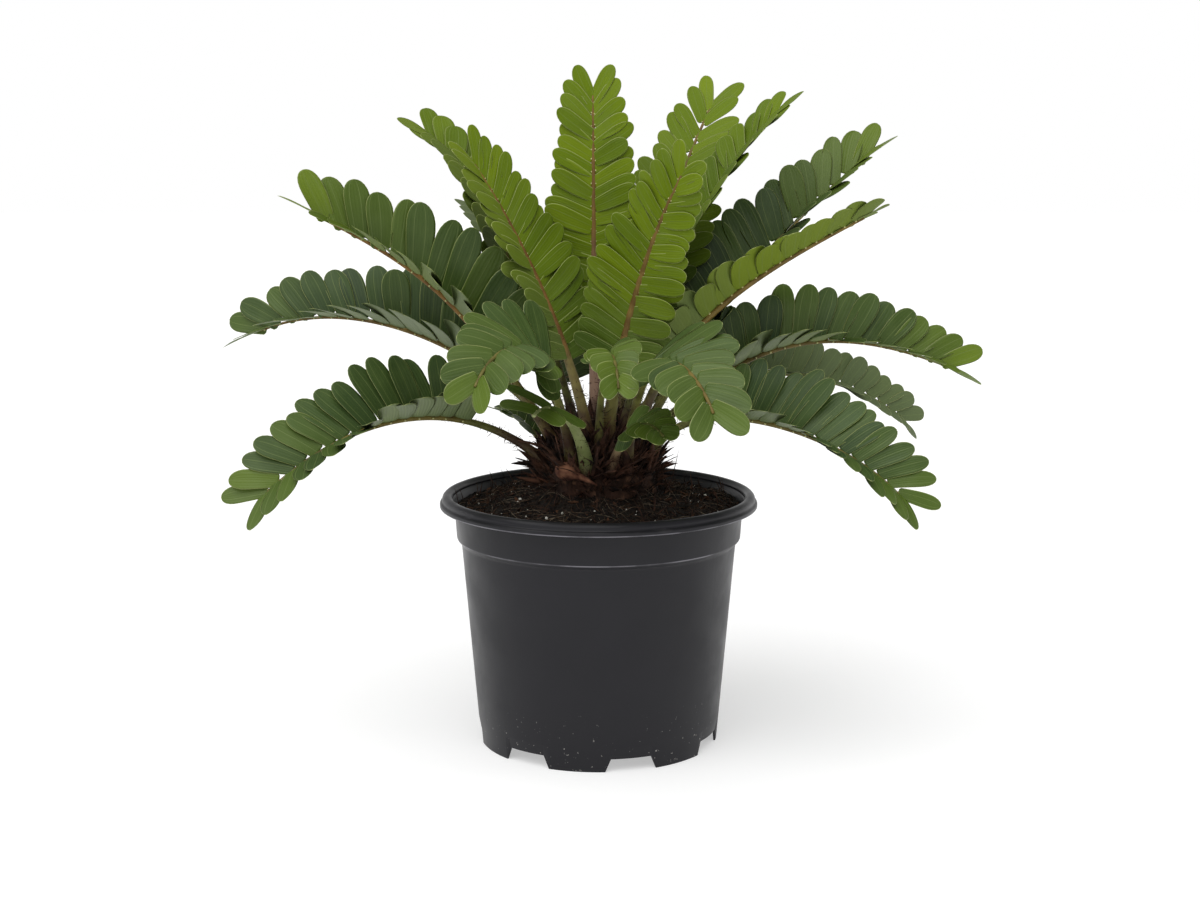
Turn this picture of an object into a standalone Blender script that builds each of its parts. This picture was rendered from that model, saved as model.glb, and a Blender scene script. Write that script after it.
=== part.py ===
"""A potted cardboard palm: a nursery pot of moulded plastic, its potting soil, and a cycad with a
squat stem and a rosette of pinnate fronds. Metres, +Z up; the pot stands on z = 0 on the Z axis,
and the plant's front looks towards -Y."""

import math

import bmesh
import bpy
import numpy as np
from mathutils import Vector
from mathutils.bvhtree import BVHTree

# Pot: a 9.25 inch nursery pot
RIM_RADIUS = 0.1175
OPENING_RADIUS = 0.1080
POT_HEIGHT = 0.1865
LIP_DROP = 0.0090
ROLL_HEIGHT = 0.0040
COLLAR_RADIUS_TOP = 0.1068
COLLAR_RADIUS_BOTTOM = 0.1054
COLLAR_BOTTOM = 0.1540
STEP_DROP = 0.0035
BODY_RADIUS_TOP = 0.1018
BASE_RADIUS = 0.0890
WALL = 0.0016
FLOOR_HEIGHT = 0.0110
FLOOR_THICKNESS = 0.0018
POT_SIDES = 48
NOTCHES = 7
NOTCH_HEIGHT = 0.0095
NOTCH_WIDTH_TOP = 0.0300
NOTCH_WIDTH_BOTTOM = 0.0370
FIRST_NOTCH = -74.6
DRAIN_RADIUS = 0.0060
DRAIN_RING = 0.0700

# Soil: nearly level with the rim, heaped up to the stem
GAP = 0.0004
SOIL_EDGE = 0.1770
SOIL_MOUND = 0.0150
SOIL_LUMP = 0.0016
SOIL_SIDES = 32
SOIL_RINGS = 6

# Stem: a tuber in a plain hole in the soil, with a dome of old leaf bases above it
HOLE_RADIUS = 0.0380
HOLE_DEPTH = 0.0700
TUBER_RADIUS = HOLE_RADIUS - GAP
DOME_CENTRE = 0.1880
DOME_RADIUS = 0.0440
DOME_HEIGHT = 0.0400
SCALE_DEPTH = 0.0016
SCALE_ROWS = 3
SCALES_ROUND = 12
STEM_SIDES = 30

# Fronds
PETIOLE_RADIUS = 0.0044
PETIOLE_NECK = 0.0030
RACHIS_RADIUS = 0.0024
RACHIS_TIP = 0.0010
PETIOLE_RINGS = 5
BLADE_THICKNESS = 0.0009
LEAFLET_SECTIONS = ((0.76, 0.86), (1.00, 0.42))
LEAFLET_DROOP = 10.0
SAMPLES = 240
CLEARANCE = 0.0006

# Seats of the three whorls on the dome, as degrees above its rim
WHORLS = {"inner": 69.0, "middle": 48.0, "outer": 27.0}

# One line a frond: whorl, seat azimuth, tip azimuth, reach from the axis, height of the rachis' end,
# elevation at the seat, slope at the end, how far the first and last bends reach, azimuth and
# elevation that the upper face looks to, leaflet pairs, where the blade starts, leaflet length,
# trough angle, leaflet angle at the blade's foot and end, leaflet twist. Azimuth 270 is the front.
FRONDS = (
    ("inner", 155, 155, 0.140, 0.447, 50, 33, 0.38, 0.38, 322, 20, 12, 0.34, 0.048, 22, 74, 34, 10),
    ("inner", 245, 190, 0.090, 0.427, 72, 57, 0.25, 0.38, 315, 10, 12, 0.30, 0.048, 20, 72, 34, 10),
    ("inner", 97, 97, 0.036, 0.476, 75, 82, 0.38, 0.38, 270, 5, 13, 0.26, 0.046, 15, 74, 24, 10),
    ("inner", 290, 300, 0.112, 0.422, 72, 47, 0.27, 0.38, 250, 10, 12, 0.30, 0.040, 15, 72, 28, 8),
    ("inner", 50, 50, 0.136, 0.470, 67, 51, 0.38, 0.38, 255, 15, 12, 0.36, 0.046, 15, 65, 26, 8),
    ("inner", 10, 15, 0.134, 0.462, 75, 45, 0.38, 0.38, 205, 20, 12, 0.34, 0.040, 22, 65, 22, 8),
    ("middle", 188, 188, 0.203, 0.392, 59, 27, 0.50, 0.38, 270, 60, 11, 0.30, 0.058, 30, 76, 36, 8),
    ("middle", 146, 165, 0.270, 0.298, 50, -24, 0.30, 0.38, 270, 62, 13, 0.32, 0.053, 30, 76, 36, 8),
    ("middle", 24, 20, 0.214, 0.429, 58, 37, 0.38, 0.38, 270, 66, 13, 0.34, 0.050, 36, 72, 25, 8),
    ("middle", 334, 345, 0.192, 0.391, 80, 28, 0.38, 0.38, 90, 70, 13, 0.34, 0.041, 32, 70, 22, 8),
    ("middle", 358, 0, 0.256, 0.280, 51, -22, 0.50, 0.38, 270, 60, 13, 0.34, 0.049, 26, 76, 34, 8),
    ("middle", 48, 20, 0.253, 0.227, 85, -42, 0.30, 0.38, 270, 60, 12, 0.38, 0.037, 24, 74, 34, 8),
    ("middle", 72, 60, 0.125, 0.365, 65, 30, 0.38, 0.38, 240, 45, 10, 0.34, 0.038, 22, 74, 34, 8),
    ("middle", 96, 88, 0.170, 0.345, 70, 10, 0.38, 0.38, 268, 60, 10, 0.34, 0.040, 22, 74, 34, 8),
    ("middle", 121, 128, 0.150, 0.385, 65, 30, 0.38, 0.38, 308, 45, 10, 0.34, 0.040, 22, 74, 34, 8),
    ("middle", 270, 275, 0.150, 0.285, 85, -50, 0.50, 0.38, 270, 30, 6, 0.55, 0.027, 15, 66, 34, 50),
    ("outer", 168, 198, 0.248, 0.198, 40, -42, 0.42, 0.38, 270, 62, 13, 0.34, 0.049, 28, 76, 36, 8),
    ("outer", 240, 246, 0.195, 0.290, 80, -42, 0.50, 0.38, 265, 38, 8, 0.45, 0.043, 8, 62, 34, 70),
    ("outer", 302, 290, 0.212, 0.276, 85, -40, 0.50, 0.38, 275, 38, 9, 0.42, 0.045, 8, 62, 34, 70),
    ("outer", 343, 345, 0.223, 0.194, 80, -46, 0.38, 0.38, 270, 60, 13, 0.38, 0.048, 24, 76, 36, 8),
    ("outer", 258, 250, 0.128, 0.262, 72, -15, 0.38, 0.38, 262, 38, 5, 0.45, 0.026, 15, 66, 34, 50),
    ("outer", 284, 290, 0.128, 0.248, 65, -20, 0.38, 0.38, 275, 38, 5, 0.45, 0.024, 15, 66, 34, 50),
    ("outer", 148, 150, 0.085, 0.240, 45, 5, 0.38, 0.38, 330, 70, 5, 0.40, 0.020, 20, 70, 36, 8),
    ("outer", 110, 110, 0.198, 0.278, 65, -25, 0.38, 0.38, 290, 70, 11, 0.34, 0.042, 24, 76, 36, 8),
    ("outer", 70, 72, 0.202, 0.270, 65, -25, 0.38, 0.38, 252, 70, 11, 0.34, 0.042, 24, 76, 36, 8),
)


def clear_scene():
    for obj in list(bpy.data.objects):
        bpy.data.objects.remove(obj, do_unlink=True)


def new_collection(name):
    collection = bpy.data.collections.new(name)
    bpy.context.scene.collection.children.link(collection)
    return collection


def new_material(name, color, roughness):
    """A Principled material of one colour; nothing on the plant or the pot is metal."""
    material = bpy.data.materials.new(name)
    material.use_nodes = True
    shader = material.node_tree.nodes["Principled BSDF"]
    shader.inputs["Base Color"].default_value = (*color, 1.0)
    shader.inputs["Roughness"].default_value = roughness
    shader.inputs["Metallic"].default_value = 0.0
    return material


def new_object(name, geometry, collection, material=None):
    """Puts a bmesh into a new object, in its place, and frees it."""
    mesh = bpy.data.meshes.new(name)
    geometry.to_mesh(mesh)
    geometry.free()
    obj = bpy.data.objects.new(name, mesh)
    collection.objects.link(obj)
    if material:
        mesh.materials.append(material)
    return obj


def arc(centre, radii, start, end, count):
    """Points on an ellipse from one angle to another, both included, in degrees."""
    angles = np.radians(np.linspace(start, end, count))
    return [(centre[0] + radii[0] * math.cos(a), centre[1] + radii[1] * math.sin(a)) for a in angles]


# Pot


def pot_profile():
    """Half the pot's section, from the inside of its floor over the rim to the underside."""
    lip_bottom = POT_HEIGHT - LIP_DROP
    roll_centre = ((OPENING_RADIUS + RIM_RADIUS) / 2 - 0.0008, POT_HEIGHT - ROLL_HEIGHT)
    roll_radius = roll_centre[0] - OPENING_RADIUS
    floor_top = FLOOR_HEIGHT + FLOOR_THICKNESS
    step_bottom = COLLAR_BOTTOM - STEP_DROP
    slope = (BODY_RADIUS_TOP - BASE_RADIUS) / step_bottom
    inside = [
        (0.0, floor_top),
        (BASE_RADIUS + slope * floor_top - WALL, floor_top),
        (BODY_RADIUS_TOP - WALL, step_bottom),
        (COLLAR_RADIUS_BOTTOM - WALL, COLLAR_BOTTOM + 0.0010),
        (COLLAR_RADIUS_TOP - WALL, lip_bottom - 0.0020),
    ]
    roll = arc(roll_centre, (roll_radius, ROLL_HEIGHT), 180, 10, 6)
    lip = [
        (RIM_RADIUS - 0.0012, POT_HEIGHT - 0.0052),
        (RIM_RADIUS, POT_HEIGHT - 0.0066),
        (RIM_RADIUS, lip_bottom),
        (RIM_RADIUS - WALL, lip_bottom - 0.0004),
        (RIM_RADIUS - WALL, lip_bottom + 0.0022),
        (COLLAR_RADIUS_TOP, lip_bottom + 0.0010),
    ]
    outside = [
        (COLLAR_RADIUS_BOTTOM, COLLAR_BOTTOM + 0.0010),
        (COLLAR_RADIUS_BOTTOM - 0.0008, COLLAR_BOTTOM - 0.0004),
        (BODY_RADIUS_TOP, step_bottom),
        (BASE_RADIUS, 0.0),
        (BASE_RADIUS - WALL, 0.0),
        (BASE_RADIUS + slope * FLOOR_HEIGHT - WALL, FLOOR_HEIGHT),
        (0.0, FLOOR_HEIGHT),
    ]
    return inside + roll + lip + outside


def turned_object(name, profile, sides, collection, material):
    """A profile carried round the Z axis by a Screw modifier."""
    geometry = bmesh.new()
    verts = [geometry.verts.new((radius, 0.0, height)) for radius, height in profile]
    for first, second in zip(verts, verts[1:]):
        geometry.edges.new((first, second))
    obj = new_object(name, geometry, collection, material)
    screw = obj.modifiers.new("turn", "SCREW")
    screw.steps = sides
    screw.render_steps = sides
    screw.use_merge_vertices = True
    screw.merge_threshold = 0.0001
    return obj


def notch_cutter(index, cutters):
    """A wedge across the foot ring, wider at the ground, on one of the seven sides."""
    depth = 0.020
    geometry = bmesh.new()
    bmesh.ops.create_cube(geometry, size=1.0)
    for vert in geometry.verts:
        top = vert.co.z > 0
        width = NOTCH_WIDTH_TOP if top else NOTCH_WIDTH_BOTTOM + 0.0040
        vert.co.x *= depth
        vert.co.y *= width
        vert.co.z = NOTCH_HEIGHT if top else -0.0050
    cutter = new_object(f"notch_cutter_{index}", geometry, cutters)
    angle = math.radians(FIRST_NOTCH + 360.0 / NOTCHES * index)
    cutter.location = (BASE_RADIUS * math.cos(angle), BASE_RADIUS * math.sin(angle), 0.0)
    cutter.rotation_euler = (0.0, 0.0, angle)
    return cutter


def drain_cutter(index, cutters):
    """A round bar through the floor behind a notch; the last one is at the centre."""
    geometry = bmesh.new()
    bmesh.ops.create_cone(
        geometry, cap_ends=True, segments=8, radius1=DRAIN_RADIUS, radius2=DRAIN_RADIUS, depth=0.020
    )
    cutter = new_object(f"drain_cutter_{index}", geometry, cutters)
    angle = math.radians(FIRST_NOTCH + 360.0 / NOTCHES * index)
    ring = DRAIN_RING if index < NOTCHES else 0.0
    cutter.location = (ring * math.cos(angle), ring * math.sin(angle), FLOOR_HEIGHT)
    return cutter


def add_boolean(obj, cutter):
    cutter.hide_render = True
    cutter.display_type = "WIRE"
    cut = obj.modifiers.new(cutter.name, "BOOLEAN")
    cut.operation = "DIFFERENCE"
    cut.solver = "EXACT"
    cut.object = cutter


def make_pot(collection, cutters, material):
    pot = turned_object("pot", pot_profile(), POT_SIDES, collection, material)
    for index in range(NOTCHES):
        add_boolean(pot, notch_cutter(index, cutters))
    for index in range(NOTCHES + 1):
        add_boolean(pot, drain_cutter(index, cutters))
    return pot


# Soil


def inner_wall_radius(height):
    """The pot's inner radius at a height, less the gap that the soil keeps to it."""
    floor_top = FLOOR_HEIGHT + FLOOR_THICKNESS
    step_bottom = COLLAR_BOTTOM - STEP_DROP
    slope = (BODY_RADIUS_TOP - BASE_RADIUS) / step_bottom
    heights = (floor_top, step_bottom, COLLAR_BOTTOM + 0.0010, POT_HEIGHT - LIP_DROP - 0.0020)
    radii = (
        BASE_RADIUS + slope * floor_top,
        BODY_RADIUS_TOP,
        COLLAR_RADIUS_BOTTOM,
        COLLAR_RADIUS_TOP,
    )
    return float(np.interp(height, heights, radii)) - WALL - GAP


def soil_height(radius, angle):
    """A mound to the stem, with lumps that fade out at the pot's wall and at the stem's hole."""
    outer = inner_wall_radius(SOIL_EDGE)
    share = min(1.0, max(0.0, (outer - radius) / (outer - HOLE_RADIUS)))
    lumps = math.sin(5 * angle + 40 * radius) * math.cos(3 * angle - 90 * radius)
    lumps += 0.6 * math.sin(9 * angle + 130 * radius)
    return SOIL_EDGE + SOIL_MOUND * share**1.3 + SOIL_LUMP * lumps * math.sin(math.pi * share)


def make_soil(collection, material):
    """The soil's half section spun round the axis, its surface then lifted by soil_height."""
    floor = FLOOR_HEIGHT + FLOOR_THICKNESS + GAP
    step_bottom = COLLAR_BOTTOM - STEP_DROP
    outer = inner_wall_radius(SOIL_EDGE)
    profile = [(0.0, SOIL_EDGE - HOLE_DEPTH), (HOLE_RADIUS, SOIL_EDGE - HOLE_DEPTH)]
    surface = np.linspace(HOLE_RADIUS, outer, SOIL_RINGS + 1)
    profile += [(radius, SOIL_EDGE) for radius in surface]
    profile += [(inner_wall_radius(z), z) for z in (COLLAR_BOTTOM + 0.0010, step_bottom, floor)]
    profile += [(0.0, floor)]
    geometry = bmesh.new()
    verts = [geometry.verts.new((radius, 0.0, height)) for radius, height in profile]
    edges = [geometry.edges.new(pair) for pair in zip(verts, verts[1:])]
    bmesh.ops.spin(
        geometry,
        geom=verts + edges,
        cent=(0, 0, 0),
        axis=(0, 0, 1),
        angle=math.tau,
        steps=SOIL_SIDES,
    )
    bmesh.ops.remove_doubles(geometry, verts=geometry.verts, dist=0.00005)
    for vert in geometry.verts:
        if vert.co.z > SOIL_EDGE - 1e-5:
            vert.co.z = soil_height(vert.co.xy.length, math.atan2(vert.co.y, vert.co.x))
    bmesh.ops.recalc_face_normals(geometry, faces=geometry.faces)
    return new_object("soil", geometry, collection, material)


# Stem


def scale_relief(height, angle):
    """How far the skin sinks between staggered pointed scales, from 0 on a scale to 1 in a groove."""
    rows = (height - DOME_CENTRE) / DOME_HEIGHT * SCALE_ROWS
    row = math.floor(rows)
    across = abs(((angle / math.tau * SCALES_ROUND + 0.5 * row) % 1.0) - 0.5) * 2.0
    return max(0.0, across + (rows - row) - 1.0)


def make_stem(collection, material):
    """A tuber with an elliptic dome on it; only the low part of the dome has sunken grooves."""
    bottom = SOIL_EDGE - HOLE_DEPTH + GAP
    collar_height = SOIL_EDGE + SOIL_MOUND + 0.0006
    collar_angle = math.degrees(math.asin((collar_height - DOME_CENTRE) / DOME_HEIGHT))
    profile = [(0.0, bottom), (0.6 * TUBER_RADIUS, bottom), (TUBER_RADIUS, bottom + 0.0200)]
    profile += [(TUBER_RADIUS, collar_height)]
    profile += arc((0.0, DOME_CENTRE), (DOME_RADIUS, DOME_HEIGHT), collar_angle, 90, 10)
    geometry = bmesh.new()
    verts = [geometry.verts.new((radius, 0.0, height)) for radius, height in profile]
    edges = [geometry.edges.new(pair) for pair in zip(verts, verts[1:])]
    bmesh.ops.spin(
        geometry,
        geom=verts + edges,
        cent=(0, 0, 0),
        axis=(0, 0, 1),
        angle=math.tau,
        steps=STEM_SIDES,
    )
    bmesh.ops.remove_doubles(geometry, verts=geometry.verts, dist=0.00005)
    for vert in geometry.verts:
        low = DOME_RADIUS > vert.co.xy.length > TUBER_RADIUS + 0.0002
        if low and vert.co.z < DOME_CENTRE + 0.3 * DOME_HEIGHT:
            sink = SCALE_DEPTH * scale_relief(vert.co.z, math.atan2(vert.co.y, vert.co.x))
            vert.co.xy *= 1.0 - sink / vert.co.xy.length
    bmesh.ops.recalc_face_normals(geometry, faces=geometry.faces)
    return new_object("stem", geometry, collection, material)


# Fronds


def direction(azimuth, elevation):
    azimuth, elevation = math.radians(azimuth), math.radians(elevation)
    flat = math.cos(elevation)
    return np.array([flat * math.cos(azimuth), flat * math.sin(azimuth), math.sin(elevation)])


def seat_on_stem(stem_surface, whorl, azimuth):
    """Where a petiole stands on the dome, the gap above its skin, and the way the skin faces."""
    angle = math.radians(WHORLS[whorl])
    around = direction(azimuth, 0.0)
    point = around * DOME_RADIUS * math.cos(angle)
    point[2] = DOME_CENTRE + DOME_HEIGHT * math.sin(angle)
    out = around * math.cos(angle) / DOME_RADIUS
    out[2] = math.sin(angle) / DOME_HEIGHT
    out /= np.linalg.norm(out)
    start = Vector(point + 0.01 * out)
    hit, facing, _, _ = stem_surface.ray_cast(start, Vector(-out))
    return np.array(hit + facing * GAP), np.array(facing)


class Frond:
    """One frond's curve, the frames along it, and where its rings and leaflets stand."""

    def __init__(self, row, stem_surface):
        (self.whorl, seat_azimuth, tip_azimuth, reach, height, rise, slope, first_bend, last_bend,
         look_azimuth, look_elevation, self.pairs, self.blade_start, self.leaflet_length,
         self.trough, self.foot_angle, self.end_angle, self.twist) = row
        seat, self.seat_normal = seat_on_stem(stem_surface, self.whorl, seat_azimuth)
        end = direction(tip_azimuth, 0.0) * reach
        end[2] = height
        chord = np.linalg.norm(end - seat)
        first = seat + chord * first_bend * direction(seat_azimuth, rise)
        last = end - chord * last_bend * direction(tip_azimuth, slope)
        t = np.linspace(0.0, 1.0, SAMPLES)[:, None]
        self.points = (
            (1 - t) ** 3 * seat + 3 * (1 - t) ** 2 * t * first + 3 * (1 - t) * t**2 * last + t**3 * end
        )
        steps = np.linalg.norm(np.diff(self.points, axis=0), axis=1)
        self.lengths = np.concatenate([[0.0], np.cumsum(steps)])
        self.look = direction(look_azimuth, look_elevation)
        self.pitch = (1.0 - self.blade_start) * self.lengths[-1] / self.pairs

    def frame(self, share):
        """Position, forward, side and upper-face directions at a share of the length."""
        at = share * self.lengths[-1]
        point = np.array([np.interp(at, self.lengths, self.points[:, k]) for k in range(3)])
        index = min(max(np.searchsorted(self.lengths, at), 1), SAMPLES - 1)
        forward = self.points[index] - self.points[index - 1]
        forward /= np.linalg.norm(forward)
        up = self.look - (forward @ self.look) * forward
        up /= np.linalg.norm(up)
        return point, forward, np.cross(up, forward), up

    def ring(self, share):
        """Six points round the stalk: two narrow sides for leaflets, a ridge above and one below."""
        point, _, side, up = self.frame(share)
        start = self.blade_start
        stops = (0.0, 0.4 * start, start, 1.0)
        half_width = np.interp(share, stops, (PETIOLE_RADIUS, PETIOLE_NECK, RACHIS_RADIUS, RACHIS_TIP))
        side_half = np.interp(
            share, stops, (0.5 * PETIOLE_RADIUS, 0.5 * PETIOLE_NECK, BLADE_THICKNESS / 2, BLADE_THICKNESS / 2)
        )
        corners = ((1, side_half), (0, half_width), (-1, side_half))
        upper = [point + x * half_width * side + y * up for x, y in corners]
        lower = [point + x * half_width * side - y * up for x, y in reversed(corners)]
        return upper + lower

    def foot_ring(self):
        """The first ring, turned to lie flat on the stem's skin."""
        ring = np.array(self.ring(0.0))
        centre = self.points[0]
        offsets = ring - centre
        offsets -= np.outer(offsets @ self.seat_normal, self.seat_normal)
        offsets *= (PETIOLE_RADIUS / np.linalg.norm(offsets, axis=1).max())
        return list(centre + offsets)

    def leaflet(self, index, hand, lift=0.0, scale=1.0):
        """The sections of a leaflet beyond its root: rear and front edge, upper and lower skin."""
        share = (index + 0.5) / self.pairs
        along = self.blade_start + (1.0 - self.blade_start) * share
        point, forward, side, up = self.frame(along)
        angle = math.radians(self.foot_angle + (self.end_angle - self.foot_angle) * share**1.5)
        trough = math.radians(self.trough + lift)
        away = math.cos(trough) * hand * side + math.sin(trough) * up
        length = self.leaflet_length * scale * (0.8 + 0.2 * math.sin(math.pi * min(1.0, 1.3 * share + 0.15)))
        root = point + 0.8 * np.interp(along, (0, 1), (RACHIS_RADIUS, RACHIS_TIP)) * hand * side
        sections = []
        for reach, width in LEAFLET_SECTIONS:
            bend = math.radians(LEAFLET_DROOP) * reach
            flat = math.cos(angle) * forward + math.sin(angle) * away
            lifted = math.cos(trough) * up - math.sin(trough) * hand * side
            axis = math.cos(bend) * flat - math.sin(bend) * lifted
            across = forward - (forward @ axis) * axis
            across /= np.linalg.norm(across)
            skin = np.cross(axis, across) * -hand
            twist = math.radians(self.twist * (1.0 - 0.9 * share)) * reach
            across, skin = (
                math.cos(twist) * across + math.sin(twist) * skin,
                math.cos(twist) * skin - math.sin(twist) * across,
            )
            centre = root + axis * length * reach
            half = across * self.pitch * width / 2
            thick = skin * BLADE_THICKNESS / 2
            sections.append(
                [centre - half + thick, centre - half - thick, centre + half - thick, centre + half + thick]
            )
        return sections


def surface_of(rings, closed_ends=True):
    """A BVH tree of the skin over rings of as many points each, its quads split both ways."""
    points = [tuple(point) for ring in rings for point in ring]
    count = len(rings[0])
    faces = []
    for start in range(0, count * (len(rings) - 1), count):
        for k in range(count):
            a, b = start + k, start + (k + 1) % count
            faces += [(a, b, b + count), (a, b + count, a + count)]
            faces += [(a, b, a + count), (b, b + count, a + count)]
    if closed_ends:
        faces.append(tuple(range(count)))
        faces.append(tuple(range(len(points) - count, len(points))))
    return BVHTree.FromPolygons(points, faces, epsilon=CLEARANCE)


def split_quad(first, second):
    """Cuts the one quad that two corners share, so that both skins of a blade fold alike."""
    face = (set(first.link_faces) & set(second.link_faces)).pop()
    bmesh.utils.face_split(face, first, second)


def grow_leaflet(geometry, root, sections):
    """Extrudes a side face of the rachis through the leaflet's sections."""
    face, corners = root
    for section in sections:
        made = bmesh.ops.extrude_discrete_faces(geometry, faces=[face])["faces"][0]
        fresh = [min(made.verts, key=lambda v, c=corner: (v.co - c.co).length) for corner in corners]
        for vert, point in zip(fresh, section):
            vert.co = Vector(point)
        split_quad(corners[0], fresh[3])
        split_quad(corners[1], fresh[2])
        face, corners = made, fresh


def stalk_rings(frond):
    """Rings from the seat to the frond's end, one between each leaflet pair and the next."""
    petiole = np.linspace(0.0, frond.blade_start, PETIOLE_RINGS + 1)[1:-1]
    blade = np.linspace(frond.blade_start, 1.0, frond.pairs + 1)
    return [frond.foot_ring()] + [frond.ring(share) for share in (*petiole, *blade)]


def root_corners(frond, rings, index, hand):
    """The rachis' side face between two rings: rear top, rear bottom, front bottom, front top."""
    first = len(rings) - frond.pairs - 1
    rear, front = rings[first + index], rings[first + index + 1]
    top, bottom = (0, 5) if hand > 0 else (2, 3)
    return [rear[top], rear[bottom], front[bottom], front[top]]


def clear_leaflet(frond, rings, index, hand, others):
    """A leaflet's sections, bent or shortened until they clear every neighbouring frond."""
    root = root_corners(frond, rings, index, hand)
    for scale in (1.0, 0.8, 0.6):
        for lift in (0, 10, -10, 20, -20, 30, -30):
            sections = frond.leaflet(index, hand, lift, scale)
            skin = surface_of([root, *sections])
            if not any(skin.overlap(other) for other in others):
                return sections, skin
    return None, None


def make_frond(name, frond, rings, leaflets, collection, material):
    geometry = bmesh.new()
    verts = [[geometry.verts.new(tuple(point)) for point in ring] for ring in rings]
    geometry.faces.new(verts[0])
    geometry.faces.new(verts[-1])
    for lower, upper in zip(verts, verts[1:]):
        for k in range(6):
            geometry.faces.new((lower[k], lower[(k + 1) % 6], upper[(k + 1) % 6], upper[k]))
    for (index, hand), sections in leaflets.items():
        corners = root_corners(frond, verts, index, hand)
        face = (set(corners[0].link_faces) & set(corners[2].link_faces)).pop()
        grow_leaflet(geometry, (face, corners), sections)
    bmesh.ops.triangulate(geometry, faces=[face for face in geometry.faces if len(face.verts) > 3])
    bmesh.ops.recalc_face_normals(geometry, faces=geometry.faces)
    obj = new_object(name, geometry, collection, material)
    obj.data.shade_smooth()
    obj.data.set_sharp_from_angle(angle=math.radians(40))
    return obj


def make_fronds(stem, collection, material):
    stem_surface = BVHTree.FromPolygons(
        [v.co for v in stem.data.vertices], [p.vertices for p in stem.data.polygons]
    )
    fronds = [Frond(row, stem_surface) for row in FRONDS]
    rings = [stalk_rings(frond) for frond in fronds]
    skins = [[surface_of(ring)] for ring in rings]
    numbers = dict.fromkeys(WHORLS, 0)
    for i, frond in enumerate(fronds):
        others = [skin for j, group in enumerate(skins) if j != i for skin in group]
        leaflets = {}
        for index in range(frond.pairs):
            for hand in (1, -1):
                sections, skin = clear_leaflet(frond, rings[i], index, hand, others)
                if sections:
                    leaflets[index, hand] = sections
                    skins[i].append(skin)
        numbers[frond.whorl] += 1
        name = f"frond_{frond.whorl}_{numbers[frond.whorl]}"
        make_frond(name, frond, rings[i], leaflets, collection, material)


def main():
    clear_scene()
    collection = new_collection("potted_cardboard_palm")
    cutters = new_collection("cutters")
    plastic = new_material("pot_plastic", (0.028, 0.027, 0.031), 0.48)
    earth = new_material("potting_soil", (0.020, 0.014, 0.010), 0.95)
    bark = new_material("stem_bark", (0.110, 0.055, 0.035), 0.80)
    leaf = new_material("leaf", (0.085, 0.190, 0.030), 0.45)
    pot = make_pot(collection, cutters, plastic)
    pot.data.shade_smooth()
    soil = make_soil(collection, earth)
    soil.data.shade_smooth()
    stem = make_stem(collection, bark)
    stem.data.shade_smooth()
    make_fronds(stem, collection, leaf)


main()
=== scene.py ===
"""The look of a potted cardboard palm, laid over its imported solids. Metres, +Z up, the front towards -Y."""

import math

import bpy
import numpy as np
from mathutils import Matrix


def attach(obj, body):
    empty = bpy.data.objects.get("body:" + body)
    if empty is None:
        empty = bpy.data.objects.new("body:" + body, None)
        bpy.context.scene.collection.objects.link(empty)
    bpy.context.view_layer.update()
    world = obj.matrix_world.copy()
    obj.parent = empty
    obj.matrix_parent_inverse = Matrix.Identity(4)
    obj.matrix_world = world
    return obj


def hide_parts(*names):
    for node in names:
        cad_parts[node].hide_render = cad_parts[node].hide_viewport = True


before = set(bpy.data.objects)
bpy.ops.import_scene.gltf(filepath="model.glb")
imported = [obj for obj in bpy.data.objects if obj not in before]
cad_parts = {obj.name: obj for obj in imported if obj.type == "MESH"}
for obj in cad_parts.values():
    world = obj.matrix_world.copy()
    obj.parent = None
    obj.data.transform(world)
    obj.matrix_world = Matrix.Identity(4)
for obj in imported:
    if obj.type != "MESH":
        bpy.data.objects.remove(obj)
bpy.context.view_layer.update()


# Pot wall
# A nursery pot moulded in one piece from black polypropylene: a rolled rim over a thin lip, a collar
# that stiffens the mouth, a step, a plain tapered body, and a foot ring with seven water notches.

RIM_RADIUS = 0.1175
OPENING_RADIUS = 0.1080
POT_HEIGHT = 0.1865
LIP_BOTTOM = 0.1775
COLLAR_RADIUS_TOP = 0.1068
COLLAR_RADIUS_BOTTOM = 0.1054
COLLAR_BOTTOM = 0.1540
STEP_BOTTOM = 0.1505
BODY_RADIUS_TOP = 0.1018
BASE_RADIUS = 0.0890
WALL = 0.0016
BODY_SLOPE = (BODY_RADIUS_TOP - BASE_RADIUS) / STEP_BOTTOM
NOTCHES = 7
NOTCH_HEIGHT = 0.0095
NOTCH_FADE = 0.0180
NOTCH_HALF_TOP = math.asin(0.0150 / BASE_RADIUS)
NOTCH_HALF_BOTTOM = math.asin(0.0190 / BASE_RADIUS)
FIRST_NOTCH = math.radians(-74.6)


def grid_faces(rows, columns, copies=1, closed=False):
    """Quads of a grid whose columns close into a ring, and whose rows do too where closed is true.

    Copies of the grid follow one another in the point list."""
    i = np.arange(rows if closed else rows - 1)[:, None]
    j = np.arange(columns)[None, :]
    below, beside = (i + 1) % rows, (j + 1) % columns
    quads = np.stack(
        [i * columns + j, i * columns + beside, below * columns + beside, below * columns + j], -1
    )
    starts = np.arange(copies)[:, None, None] * rows * columns
    return (quads.reshape(1, -1, 4) + starts).reshape(-1, 4)


def cap_faces(rows, columns, copies=1):
    """The first and last ring of each copy as one many-sided face, so that its ends are closed."""
    ring = np.arange(columns)
    starts = np.arange(copies)[:, None] * rows * columns
    first = ring[None, ::-1] + starts
    last = ring[None, :] + starts + (rows - 1) * columns
    return np.concatenate([first, last])


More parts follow.
